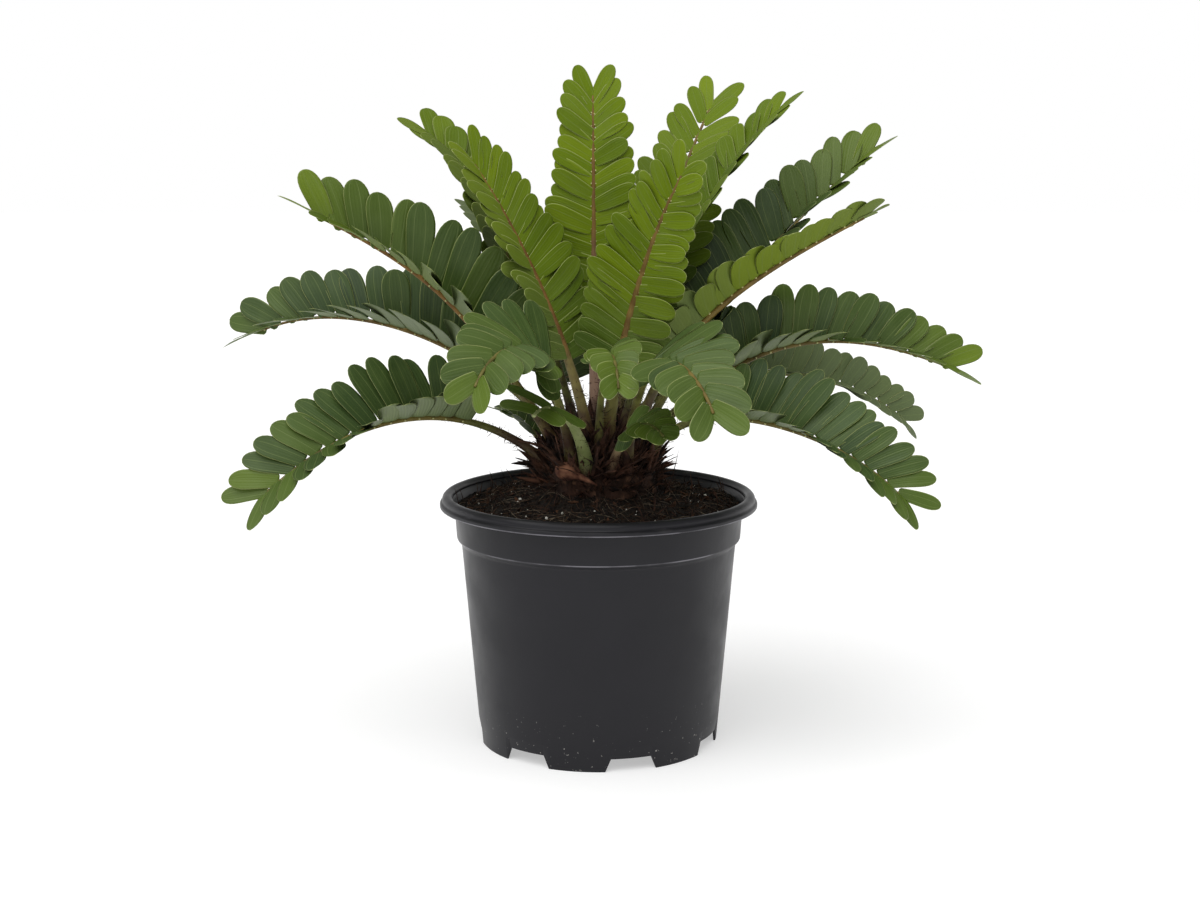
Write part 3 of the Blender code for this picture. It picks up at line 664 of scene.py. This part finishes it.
new_base = bezier(np.array([
    (-0.0255, -0.0340, 0.2080), (-0.0240, -0.0420, 0.2110), (-0.0150, -0.0480, 0.2080), (-0.0010, -0.0500, 0.2010)
]), 24)
_, side, up = path_frames(new_base)
swell = np.interp(np.linspace(0, 1, 24), [0, 0.08, 0.25, 0.42, 0.60, 0.80, 1], [0.003, 0.0072, 0.0084, 0.0070, 0.0038, 0.0022, 0.0004])
bud = mesh_piece(
    "new_leaf_base", tubes(new_base, side, up, swell, swell * 0.85, 20),
    [grid_faces(24, 20), cap_faces(24, 20)], fresh_bract,
)
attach(bud, "root")


# Fuzz on the stem
# Dark, wiry threads of rotted leaf base that stand out from the stem all round, and stiffer ones that stand up from the
# soil by the rim.

fuzz_fibre = crumb_material("fuzz", (0.004, 0.0022, 0.0016), (0.050, 0.022, 0.013), 90.0)
rng = np.random.default_rng(41)
count = 1500
elevation = np.radians(rng.uniform(-4, 86, count))
root, away = on_dome(rng.uniform(0, math.tau, count), elevation)
along = unit(away + np.array([0.0, 0.0, 0.7]) + rng.normal(0, 0.45, (count, 3)))
length = rng.uniform(0.004, 0.017, count)[:, None]
bend = rng.normal(0, 0.30, (count, 3)) * length
corners = np.stack([root, root + along * length * 0.35, root + along * length * 0.7 + bend * 0.5, root + along * length + bend], 1)
dome_fuzz = thread_piece("stem_fuzz", corners, rng.uniform(0.00014, 0.00034, count), fuzz_fibre, 5)

rng = np.random.default_rng(43)
count = 420
root = on_soil(rng, count, inner=0.046, outer=0.1035, lift=-0.002)
lean = rng.normal(0, 0.5, (count, 3)) * np.array([1.0, 1.0, 0.3]) + np.array([0.0, 0.0, 1.0])
length = rng.uniform(0.004, 0.020, count)[:, None] * rng.uniform(0.3, 1.0, (count, 1))
bend = rng.normal(0, 0.35, (count, 3)) * length
corners = np.stack([root, root + unit(lean) * length * 0.35, root + unit(lean) * length * 0.7 + bend * 0.3, root + unit(lean) * length + bend], 1)
spikes = thread_piece("soil_spikes", corners, rng.uniform(0.00020, 0.00060, count), fuzz_fibre, 5, 4)


# Fronds
# Each is a petiole and rachis in one tapering stalk, with stiff, leathery, scurfy leaflets in opposite
# pairs that overlap like shingles. They stand in three whorls; the inner ones are the youngest.

WHORLS = {"inner": 69.0, "middle": 48.0, "outer": 27.0}
# Name, seat and tip azimuth, reach, height, rise at the seat, slope at the end, first and last bend,
# azimuth and elevation of the upper face and how far it turns out at the tip, leaflet pairs, start of
# the blade, leaflet length and how much longer it is at the foot, trough and how far it eases along
# the blade, leaflet angle at foot and end, twist, youth from 0 to 1 and how much brighter the tip is
# (leaf age, and also painted light: low for fronds in shade, high for fronds that light shines through),
# painted sheen on the leaflets of either hand (the pale underside colour laid on upper skins that catch
# light at a grazing angle), how rusty (or, below 0, pale) the stalk is, how pink the petiole is,
# leaflet width over the pitch, girth of the stalk.
FRONDS = (
    ("inner_1", 155, 155, .140, .447, 50, 33, .38, .38, 322, 20, 0, 16, .34, .042, 0, 22, 0, 74, 22, 5, .60, .2, .5, .0, .5, .0, 1.90, 1.0),
    ("inner_2", 245, 190, .090, .427, 72, 57, .25, .38, 325, 10, 0, 18, .30, .046, 0, 20, 0, 78, 22, 5, .75, .2, .6, .0, .9, .1, 1.70, 1.3),
    ("inner_3", 97, 97, .036, .476, 75, 82, .38, .38, 270, 5, 0, 22, .26, .041, 0, 12, 0, 84, 20, 4, .95, .0, .0, .0, .8, 1.0, 1.75, 1.25),
    ("inner_4", 290, 300, .112, .422, 72, 47, .27, .38, 250, 10, 0, 18, .30, .040, 0, 15, 0, 76, 20, 5, .90, .1, .0, .2, .7, .0, 1.70, 1.4),
    ("inner_5", 50, 50, .136, .470, 67, 51, .38, .38, 255, 15, 0, 14, .36, .044, 0, 12, 0, 70, 20, 4, .80, .2, .1, .1, .7, .0, 1.20, 1.0),
    ("inner_6", 10, 15, .134, .462, 75, 45, .38, .38, 205, 20, 0, 16, .34, .039, 0, 22, 0, 70, 18, 5, .60, .2, .0, .0, .0, .0, 1.60, 1.0),
    ("middle_1", 188, 188, .203, .392, 59, 27, .50, .38, 270, 60, 0, 12, .30, .053, 0, 52, 18, 78, 30, 5, .18, .7, .0, .0, .9, .0, 1.50, 1.1),
    ("middle_2", 146, 165, .270, .298, 50, -24, .30, .38, 270, 62, 8, 14, .32, .048, 0, 52, 20, 78, 26, 5, .02, .2, .15, .15, .6, .0, 1.55, 1.0),
    ("middle_3", 24, 20, .214, .429, 58, 37, .38, .38, 270, 66, 0, 15, .34, .048, 0, 44, 4, 74, 20, 5, .08, .8, .1, .1, .5, .0, 1.50, 1.0),
    ("middle_4", 334, 345, .192, .391, 80, 28, .38, .38, 90, 76, 0, 16, .34, .035, .15, 22, 0, 74, 20, 5, .85, -.4, .1, .1, .6, .0, 1.90, 1.2),
    ("middle_5", 358, 0, .256, .280, 51, -22, .50, .38, 270, 60, 12, 15, .32, .043, 0, 50, 24, 78, 26, 5, .15, .7, .0, .0, .5, .0, 1.60, 1.0),
    ("middle_6", 48, 20, .253, .227, 85, -42, .30, .38, 270, 60, 10, 15, .38, .035, 0, 34, 20, 76, 34, 5, .05, .0, .8, .8, .3, .0, 1.45, 1.0),
    ("middle_7", 72, 60, .125, .365, 65, 30, .38, .38, 240, 45, 0, 13, .34, .038, 0, 22, 0, 74, 34, 5, .10, .0, .8, .8, .3, .0, 1.50, 1.0),
    ("middle_8", 96, 88, .170, .345, 70, 10, .38, .38, 268, 60, 0, 13, .34, .040, 0, 22, 0, 74, 34, 5, .10, .0, .8, .8, .3, .0, 1.50, 1.0),
    ("middle_9", 121, 128, .150, .385, 65, 30, .38, .38, 308, 45, 0, 13, .34, .040, 0, 22, 0, 74, 34, 5, .10, .0, 1.0, 1.0, .3, .0, 1.50, 1.0),
    ("middle_10", 270, 275, .150, .285, 85, -50, .50, .38, 270, 30, 0, 6, .60, .022, 0, 12, 0, 66, 34, -30, .45, .1, .1, .1, .3, .0, 1.5, .9),
    ("outer_1", 168, 198, .248, .198, 40, -42, .42, .38, 270, 62, 12, 15, .29, .048, 0, 46, 40, 78, 30, 5, .08, .3, .1, .1, .4, .0, 1.60, 1.0),
    ("outer_2", 240, 246, .195, .290, 80, -42, .50, .38, 265, 38, 0, 9, .45, .038, .35, 8, 0, 68, 24, -30, .22, .1, .1, .1, .3, .0, 1.50, 1.1),
    ("outer_3", 302, 290, .212, .276, 85, -40, .50, .38, 275, 38, 0, 10, .42, .041, .25, 8, 0, 68, 24, -30, .20, .1, .1, .1, .5, .0, 1.50, 1.1),
    ("outer_4", 343, 345, .223, .194, 80, -46, .38, .38, 270, 60, 10, 15, .34, .046, 0, 42, 24, 78, 30, 5, .05, .4, .0, .0, .4, .0, 1.60, 1.0),
    ("outer_5", 258, 250, .128, .262, 72, -15, .38, .38, 262, 38, 0, 2, .72, .032, 0, 5, 0, 86, 60, -10, .45, .0, .0, .0, -.7, .0, 1.0, 1.45),
    ("outer_6", 284, 290, .128, .248, 65, -20, .38, .38, 275, 38, 0, 5, .45, .021, 0, 5, 0, 76, 24, -20, .30, .0, .0, .0, .1, .6, 1.4, 1.0),
    ("outer_7", 148, 150, .085, .240, 45, 5, .38, .38, 330, 70, 0, 5, .40, .020, 0, 20, 0, 70, 36, 5, .20, .0, .0, .0, .1, .3, 1.5, .9),
    ("outer_8", 110, 110, .198, .278, 65, -25, .38, .38, 290, 70, 0, 13, .34, .042, 0, 24, 0, 76, 36, 5, .10, .0, .3, .3, .3, .0, 1.4, 1.0),
    ("outer_9", 70, 72, .202, .270, 65, -25, .38, .38, 252, 70, 0, 13, .34, .042, 0, 24, 0, 76, 36, 5, .10, .0, .3, .3, .3, .0, 1.4, 1.0),
)
STALK_POINTS = 90
STALK_STOPS = (0.0, 0.03, 0.10, 0.35, 1.0)
STALK_HALF_WIDTHS = (0.0058, 0.0046, 0.0036, 0.0025, 0.0009)
BLADE_THICKNESS = 0.00055
LEAFLET_ROWS = np.array([0.0, 0.04, 0.12, 0.24, 0.37, 0.50, 0.62, 0.73, 0.82, 0.90, 0.955, 0.985, 1.0])
LEAFLET_STEPS = np.array([-1.0, -0.86, -0.45, 0.0, 0.45, 0.86, 1.0])


def direction(azimuth, elevation):
    azimuth, elevation = math.radians(azimuth), math.radians(elevation)
    flat = math.cos(elevation)
    return np.array([flat * math.cos(azimuth), flat * math.sin(azimuth), math.sin(elevation)])


def stalk_curve(whorl, seat_azimuth, tip_azimuth, reach, height, rise, slope, first_bend, last_bend):
    """A Bezier curve from the stem's dome to the frond's end, resampled to even steps."""
    on_dome = math.radians(WHORLS[whorl])
    seat = direction(seat_azimuth, 0.0) * (DOME_RADIUS - 0.0015) * math.cos(on_dome)
    seat[2] = DOME_CENTRE + (DOME_HEIGHT - 0.0015) * math.sin(on_dome)
    end = direction(tip_azimuth, 0.0) * reach
    end[2] = height
    chord = np.linalg.norm(end - seat)
    first = seat + chord * first_bend * direction(seat_azimuth, rise)
    last = end - chord * last_bend * direction(tip_azimuth, slope)
    fine = bezier(np.array([seat, first, last, end]), 400)
    lengths = np.concatenate([[0.0], np.cumsum(np.linalg.norm(np.diff(fine, axis=0), axis=1))])
    even = np.linspace(0.0, lengths[-1], STALK_POINTS)
    return np.stack([np.interp(even, lengths, fine[:, k]) for k in range(3)], -1), lengths[-1]


def blade_frames(path, look):
    """Forward, side and upper-face directions along a stalk, from where its upper face looks."""
    forward = unit(np.gradient(path, axis=0))
    up = unit(look - np.einsum("ij,ij->i", forward, look)[:, None] * forward)
    return forward, np.cross(up, forward), up


def leaflet_outline(along):
    """Half width over the greatest half width: a narrow foot, full from the middle, a round tip."""
    foot = 1.0 - 0.30 * (1.0 - np.clip(along / 0.60, 0.0, 1.0)) ** 1.4
    foot = foot * (0.72 + 0.28 * np.clip(along / 0.04, 0.0, 1.0) ** 0.5)
    tip = np.sqrt(np.clip(1.002 - (np.clip(along - 0.62, 0.0, 1.0) / 0.38) ** 2.5, 0.0, 1.0))
    return foot * tip


def leaf_material(name, roughness, specular):
    """Leathery green: darker with age, paler beneath, with fine veins and a thin pale margin. The age tone also carries
    painted light, and the pale underside colour also carries a painted sheen.
    """
    material, tree, shader = new_material(name, roughness, specular)
    blade = add_node(tree, "ShaderNodeAttribute", {"attribute_name": "blade"}).outputs["Vector"]
    tone = add_node(tree, "ShaderNodeAttribute", {"attribute_name": "tone"}).outputs["Vector"]
    blade = add_node(tree, "ShaderNodeSeparateXYZ", None, Vector=blade).outputs
    tone = add_node(tree, "ShaderNodeSeparateXYZ", None, Vector=tone).outputs
    under, own, youth_and_light = tone[0], tone[1], tone[2]
    place = add_node(tree, "ShaderNodeTexCoord").outputs["Object"]
    old = mixed(tree, own, (0.017, 0.040, 0.011, 1), (0.040, 0.076, 0.018, 1))
    young = mixed(tree, own, (0.110, 0.170, 0.003, 1), (0.150, 0.215, 0.005, 1))
    # The age tone is also painted light: raised for fronds that light shines through, kept low for fronds in shade.
    colour = mixed(tree, youth_and_light, old, young)
    patch = ranged(tree, noise(tree, place, 45.0, 4.0), 0.40, 0.80, 0.0, 0.25)
    colour = mixed(tree, patch, colour, (0.110, 0.160, 0.040, 1))
    below = mixed(tree, youth_and_light, (0.115, 0.150, 0.065, 1), (0.165, 0.225, 0.014, 1))
    # The under channel is the lower skin, and also a painted sheen: the pale underside colour laid over upper skins
    # that catch light at a grazing angle.
    colour = mixed(tree, under, colour, below)
    lines = add_node(tree, "ShaderNodeMath", {"operation": "MULTIPLY"}, i0=blade[1], i1=24.0).outputs[0]
    lines = add_node(tree, "ShaderNodeMath", {"operation": "COSINE"}, i0=lines).outputs[0]
    vein = ranged(tree, lines, 0.80, 1.0, 0.0, 0.10)
    colour = mixed(tree, vein, colour, (0.150, 0.210, 0.050, 1))
    main = add_node(tree, "ShaderNodeMath", {"operation": "MULTIPLY_ADD"}, i0=own, i1=6.0)
    spaced = add_node(tree, "ShaderNodeMath", {"operation": "MULTIPLY"}, i0=blade[1], i1=8.0).outputs[0]
    tree.links.new(spaced, main.inputs[2])
    main = add_node(tree, "ShaderNodeMath", {"operation": "COSINE"}, i0=main.outputs[0]).outputs[0]
    main = ranged(tree, main, 0.955, 0.995, 0.0, 0.42)
    colour = mixed(tree, main, colour, (0.170, 0.220, 0.070, 1))
    rim = ranged(tree, blade[2], 0.00050, 0.00018, 0.0, 0.80)
    colour = mixed(tree, rim, colour, (0.34, 0.38, 0.14, 1))
    tree.links.new(colour, shader.inputs["Base Color"])
    rough = add_node(tree, "ShaderNodeMath", {"operation": "MULTIPLY_ADD"}, i0=under, i1=0.20, i2=roughness)
    tree.links.new(rough.outputs[0], shader.inputs["Roughness"])
    scurf = noise(tree, place, 1200.0, 2.0)
    height = add_node(tree, "ShaderNodeMath", {"operation": "MULTIPLY_ADD"}, i0=lines, i1=-0.5, i2=scurf)
    bump = add_node(tree, "ShaderNodeBump", None, Strength=0.25, Distance=0.0003, Height=height.outputs[0])
    tree.links.new(bump.outputs[0], shader.inputs["Normal"])
    return material


def stalk_material():
    """Olive green to rusty brown, pale or pink in places, faintly rough, and dark reddish-brown where it leaves the
    stem, darkened there by painted shade from the crown.
    """
    material, tree, shader = new_material("stalk", 0.50, 0.30)
    stalk = add_node(tree, "ShaderNodeAttribute", {"attribute_name": "stalk"}).outputs["Vector"]
    stalk = add_node(tree, "ShaderNodeSeparateXYZ", None, Vector=stalk).outputs
    along, rust, pink = stalk[0], stalk[1], stalk[2]
    place = add_node(tree, "ShaderNodeTexCoord").outputs["Object"]
    mottle = ranged(tree, noise(tree, place, 90.0, 6.0), 0.3, 0.7)
    green = mixed(tree, mottle, (0.055, 0.070, 0.012, 1), (0.125, 0.145, 0.036, 1))
    brown = mixed(tree, mottle, (0.130, 0.055, 0.010, 1), (0.230, 0.115, 0.024, 1))
    pale = mixed(tree, mottle, (0.200, 0.240, 0.085, 1), (0.300, 0.340, 0.150, 1))
    colour = mixed(tree, rust, green, brown)
    colour = mixed(tree, ranged(tree, rust, 0.0, -1.0), colour, pale)
    colour = mixed(tree, pink, colour, (0.330, 0.205, 0.140, 1))
    # Painted shade: near the stem, and in noisy patches up to a third of the way along, the stalk is darkened to a dark
    # reddish-brown for the shade inside the crown; the reddish-brown tint itself is the stalk's own.
    foot = ranged(tree, along, 0.16, 0.0, 0.0, 0.9)
    colour = mixed(tree, foot, colour, (0.075, 0.028, 0.020, 1))
    shade_and_brown_patches = ranged(tree, noise(tree, place, 38.0, 5.0), 0.45, 0.60)
    low = ranged(tree, along, 0.34, 0.10)
    shade_and_brown_patches = add_node(tree, "ShaderNodeMath", {"operation": "MULTIPLY"}, i0=shade_and_brown_patches, i1=low).outputs[0]
    colour = mixed(tree, shade_and_brown_patches, colour, (0.040, 0.018, 0.010, 1))
    tree.links.new(colour, shader.inputs["Base Color"])
    bump = add_node(
        tree, "ShaderNodeBump", None, Strength=0.4, Distance=0.0004, Height=noise(tree, place, 500.0, 4.0)
    )
    tree.links.new(bump.outputs[0], shader.inputs["Normal"])
    return material


young_leaf = leaf_material("young leaf", 0.50, 0.10)
old_leaf = leaf_material("old leaf", 0.38, 0.25)
stalk_skin = stalk_material()
joint_places, prickle_corners, fuzz_corners, sheath_places = [], [], [], []
for number, row in enumerate(FRONDS):
    (name, seat_azimuth, tip_azimuth, reach, height, rise, slope, first_bend, last_bend, look_azimuth,
     look_elevation, look_turn, pairs, blade_start, leaflet_length, longer, trough, curl, foot_angle,
     end_angle, twist, youth_and_light, brighter, painted_sheen_one, painted_sheen_other, rust, pink, width_share, girth) = row
    rng = np.random.default_rng(100 + number)
    path, total = stalk_curve(
        name.split("_")[0], seat_azimuth, tip_azimuth, reach, height, rise, slope, first_bend, last_bend
    )
    share = np.linspace(0.0, 1.0, STALK_POINTS)
    turn_out = look_turn * np.clip((share - 0.5) / 0.5, 0.0, 1.0) ** 1.5
    look = np.array([direction(look_azimuth, look_elevation - degrees) for degrees in turn_out])
    forward, side, up = blade_frames(path, look)
    half = girth * np.interp(share, STALK_STOPS, STALK_HALF_WIDTHS)
    stalk_points = tubes(path, side, up, half, half * 0.85, 12)
    on_blade = np.clip((share - blade_start) / 0.05, 0.0, 1.0)
    rusty = rust * (0.35 + 0.65 * on_blade) if rust > 0 else np.full(STALK_POINTS, rust)
    pinkish = pink * np.clip((0.62 - share) / 0.30, 0.0, 1.0)
    values = np.stack([share, rusty, pinkish], -1)
    values = np.repeat(values[:, None, :], 12, 1)
    stalk = mesh_piece(
        f"stalk_{name}",
        stalk_points,
        [grid_faces(STALK_POINTS, 12), cap_faces(STALK_POINTS, 12)],
        stalk_skin,
        {"stalk": values},
    )
    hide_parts(f"frond_{name}")
    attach(stalk, "root")

    order = np.repeat(np.arange(pairs), 2)
    hand = np.tile([1.0, -1.0], pairs)
    place_share = (order + 0.5 + rng.uniform(-0.12, 0.12, 2 * pairs)) / pairs
    at = blade_start + (1.0 - blade_start) * np.clip(place_share, 0.0, 1.0)
    position = np.stack([np.interp(at, share, path[:, k]) for k in range(3)], -1)
    ahead = unit(np.stack([np.interp(at, share, forward[:, k]) for k in range(3)], -1))
    aside = unit(np.stack([np.interp(at, share, side[:, k]) for k in range(3)], -1)) * hand[:, None]
    above = np.cross(aside, ahead) * -hand[:, None]
    closing = 0.45 * place_share**1.3 + 0.55 * place_share ** (0.6 * pairs)
    spread = foot_angle + (end_angle - foot_angle) * closing
    spread = np.radians(spread + rng.normal(0, 3.0, 2 * pairs))
    raised = np.radians(trough + curl * (0.5 - place_share) + rng.normal(0, 3.0, 2 * pairs))
    away = np.cos(raised)[:, None] * aside + np.sin(raised)[:, None] * above
    axis = np.cos(spread)[:, None] * ahead + np.sin(spread)[:, None] * away
    across = unit(ahead - np.einsum("ij,ij->i", ahead, axis)[:, None] * axis)
    skin = np.cross(axis, across) * -hand[:, None]
    turn_by = np.radians(twist + rng.normal(0, 1.5, 2 * pairs))[:, None]
    across, skin = (
        np.cos(turn_by) * across + np.sin(turn_by) * skin,
        np.cos(turn_by) * skin - np.sin(turn_by) * across,
    )
    long = leaflet_length * (0.8 + 0.2 * np.sin(math.pi * np.minimum(1.0, 1.3 * place_share + 0.15)))
    long = long * (1.0 + longer * (1.0 - place_share) ** 2 - 0.10 * place_share**6) * (1.0 + rng.normal(0, 0.04, 2 * pairs))
    pitch = (1.0 - blade_start) * total / pairs
    half_width = 0.5 * pitch * width_share * (1.0 + rng.normal(0, 0.04, 2 * pairs)) * (1 - 0.25 * place_share**3)
    stalk_half = np.interp(at, STALK_STOPS, STALK_HALF_WIDTHS)
    root = position + 0.20 * stalk_half[:, None] * (aside + 2.0 * above)
    leaflets = 2 * pairs
    shape = {
        "length": long, "half_width": half_width, "thickness": BLADE_THICKNESS,
        "droop": 0.07 + rng.normal(0, 0.02, leaflets), "cup": 0.08 + rng.normal(0, 0.03, leaflets),
        "sweep": rng.normal(0.05, 0.02, leaflets), "wave": 0.0004,
    }
    points, blade, under = thin_blades(
        root, axis, across, skin, shape, leaflet_outline, LEAFLET_ROWS, LEAFLET_STEPS
    )
    own = np.broadcast_to(rng.uniform(0, 1, leaflets)[:, None, None], under.shape)
    # The tone grows toward the tip; its per-frond values are leaf age and also painted light and shade.
    bright = youth_and_light * np.minimum(1.0, 0.35 + 1.6 * place_share) + brighter * place_share**4
    bright = np.clip(bright + rng.normal(0, 0.06, leaflets), 0.0, 1.0)
    # Painted sheen: the pale underside colour laid over the leaflets of one or both hands, for upper skins that catch
    # light at a grazing angle.
    painted_sheen = np.where(hand > 0, painted_sheen_one, painted_sheen_other)
    tone = np.stack([np.maximum(under, painted_sheen[:, None, None]), own, bright[:, None, None] + 0 * under], -1)
    fan = mesh_piece(
        f"leaflets_{name}",
        points,
        [grid_faces(13, 12, leaflets), cap_faces(13, 12, leaflets)],
        young_leaf if youth_and_light > 0.5 else old_leaf,
        {"blade": blade, "tone": tone},
    )
    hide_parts(f"frond_{name}")
    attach(fan, "root")
    joint_places.append(root + 0.9 * stalk_half[:, None] * aside)
    count = 12
    spot = rng.uniform(0.08, 0.95 * blade_start, count)
    base = np.stack([np.interp(spot, share, path[:, k]) for k in range(3)], -1)
    ring = rng.uniform(0, math.tau, count)[:, None]
    out = np.cos(ring) * np.stack([np.interp(spot, share, side[:, k]) for k in range(3)], -1)
    out = unit(out + np.sin(ring) * np.stack([np.interp(spot, share, up[:, k]) for k in range(3)], -1))
    thickness = np.interp(spot, share, half)[:, None]
    prickle_corners.append(
        np.stack([base + out * thickness * k for k in (0.6, 0.9, 1.15, 1.45)], 1)
    )

    count = 130
    spot = 0.42 * rng.uniform(0.0, 1.0, count) ** 1.8
    base, ahead, aside, above = (
        np.stack([np.interp(spot, share, line[:, k]) for k in range(3)], -1)
        for line in (path, forward, side, up)
    )
    ring = rng.uniform(0, math.tau, (count, 1))
    out = unit(np.cos(ring) * aside + np.sin(ring) * above)
    skin_at = base + out * (0.9 * np.interp(spot, share, half))[:, None]
    along = unit(out + ahead * rng.uniform(-0.3, 1.4, (count, 1)) + rng.normal(0, 0.3, (count, 3)))
    long = (rng.uniform(0.002, 0.010, count) * (1.0 - 1.6 * spot))[:, None]
    bend = rng.normal(0, 0.25, (count, 3)) * long
    fuzz_corners.append(np.stack([
        skin_at, skin_at + along * long * 0.35, skin_at + along * long * 0.7 + bend * 0.5, skin_at + along * long + bend
    ], 1))
    near = np.argsort(spot)[:16]
    sheath_places.append(np.stack([skin_at[near], ahead[near] + 0.45 * out[near], out[near]], 1))


# Petiole sheaths and fuzz
# Withered bracts that hug the foot of each petiole, and the wiry dark hairs higher up on it.

sheath_places = np.concatenate(sheath_places)
rng = np.random.default_rng(61)
length = rng.uniform(0.010, 0.032, len(sheath_places))
bract_piece(
    "petiole_sheaths", sheath_places[:, 0], sheath_places[:, 1] + rng.normal(0, 0.15, (len(length), 3)),
    sheath_places[:, 2], length, length * rng.uniform(0.10, 0.18, len(length)), rng, dry_bract,
)
fuzz_corners = np.concatenate(fuzz_corners)
dry_stalk = bezier(np.array([(-0.018, 0.024, 0.218), (-0.040, 0.040, 0.270), (-0.066, 0.046, 0.315), (-0.079, 0.050, 0.352)]), 40)
_, side, up = path_frames(dry_stalk)
knobs = 0.0022 + 0.0006 * np.sin(np.arange(40) * 1.3) + 0.0016 * np.exp(-((np.arange(40) - 33) / 2.5) ** 2)
withered = crumb_material("withered stalk", (0.110, 0.055, 0.030), (0.330, 0.200, 0.120), 120.0)
dead = mesh_piece(
    "withered_stalk", tubes(dry_stalk, side, up, knobs, knobs * 0.8, 10),
    [grid_faces(40, 10), cap_faces(40, 10)], withered,
)
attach(dead, "root")
petiole_fuzz = thread_piece(
    "petiole_fuzz", fuzz_corners, rng.uniform(0.00010, 0.00026, len(fuzz_corners)), fuzz_fibre, 4
)


# Leaflet joints
# The pale swollen callus where each leaflet is hinged to the rachis.

callus, tree, shader = new_material("callus", 0.6, 0.4)
place = add_node(tree, "ShaderNodeTexCoord").outputs["Object"]
tint = mixed(tree, noise(tree, place, 80.0, 2.0), (0.30, 0.30, 0.10, 1), (0.62, 0.58, 0.28, 1))
tree.links.new(tint, shader.inputs["Base Color"])
rng = np.random.default_rng(51)
joint_places = np.concatenate(joint_places)
points, faces = lumps(rng, joint_places, np.full((len(joint_places), 3), 0.00085), 0.1)
joints = mesh_piece("leaflet_joints", points, [faces], callus)
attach(joints, "root")


# Petiole prickles
# Short blunt thorns scattered round each petiole, a little darker than its skin.

prickle_corners = np.concatenate(prickle_corners)
prickles = thread_piece(
    "petiole_prickles", prickle_corners, np.full(len(prickle_corners), 0.0004), stalk_skin, 5, 4
)


# Studio
# A white acrylic sheet, faintly lit from below, under the pot, one very soft light overhead in a pale
# room, and the camera at table height, looking slightly down.

acrylic, tree, shader = new_material("white acrylic", 0.9, 0.2)
place = add_node(tree, "ShaderNodeTexCoord").outputs["Object"]
shade = mixed(tree, noise(tree, place, 3.0, 2.0), (0.60, 0.60, 0.60, 1), (0.62, 0.62, 0.62, 1))
tree.links.new(shade, shader.inputs["Base Color"])
shader.inputs["Emission Color"].default_value = (1.0, 1.0, 1.0, 1.0)
shader.inputs["Emission Strength"].default_value = 0.45
half_floor = 8.0
floor_mesh = bpy.data.meshes.new("floor")
floor_mesh.from_pydata(
    [(-half_floor, -half_floor, 0), (half_floor, -half_floor, 0), (half_floor, half_floor, 0), (-half_floor, half_floor, 0)],
    [],
    [(0, 1, 2, 3)],
)
floor_mesh.materials.append(acrylic)
floor = bpy.data.objects.new("floor", floor_mesh)
bpy.context.scene.collection.objects.link(floor)

world = bpy.data.worlds.new("studio")
bpy.context.scene.world = world
world.use_nodes = True
tree = world.node_tree
heading = add_node(tree, "ShaderNodeTexCoord").outputs["Generated"]
rise = add_node(tree, "ShaderNodeSeparateXYZ", None, Vector=heading).outputs["Z"]
ceiling = mixed(tree, ranged(tree, rise, 0.10, 0.45), (1.0, 1.0, 1.0, 1), (0.42, 0.42, 0.42, 1))
tree.links.new(ceiling, tree.nodes["Background"].inputs["Color"])


def add_light(name, place, target, size, power):
    """A square area light that faces a target."""
    data = bpy.data.lights.new(name, "AREA")
    data.size, data.energy = size, power
    light = bpy.data.objects.new(name, data)
    light.location = place
    toward = np.array(target) - np.array(place)
    yaw = math.atan2(toward[1], toward[0]) - math.pi / 2
    pitch = math.atan2(toward[2], math.hypot(toward[0], toward[1]))
    light.rotation_euler = (math.pi / 2 + pitch, 0.0, yaw)
    bpy.context.scene.collection.objects.link(light)


sun = bpy.data.lights.new("soft sky", "SUN")
sun.energy, sun.angle = 2.4, math.radians(70)
sun_light = bpy.data.objects.new("soft sky", sun)
sun_light.rotation_euler = (math.radians(24), math.radians(-14), 0.0)
bpy.context.scene.collection.objects.link(sun_light)

camera_data = bpy.data.cameras.new("camera")
camera_data.sensor_width = 36.0
camera_data.lens = 57.66
camera_data.shift_x = 0.00114
camera = bpy.data.objects.new("camera", camera_data)
camera.location = (0.0, -1.400, 0.460)
camera.rotation_euler = (math.radians(90.0 - 9.807), 0.0, 0.0)
bpy.context.scene.collection.objects.link(camera)
bpy.context.scene.camera = camera
bpy.context.scene.view_settings.view_transform = "Standard"

bpy.context.view_layer.update()
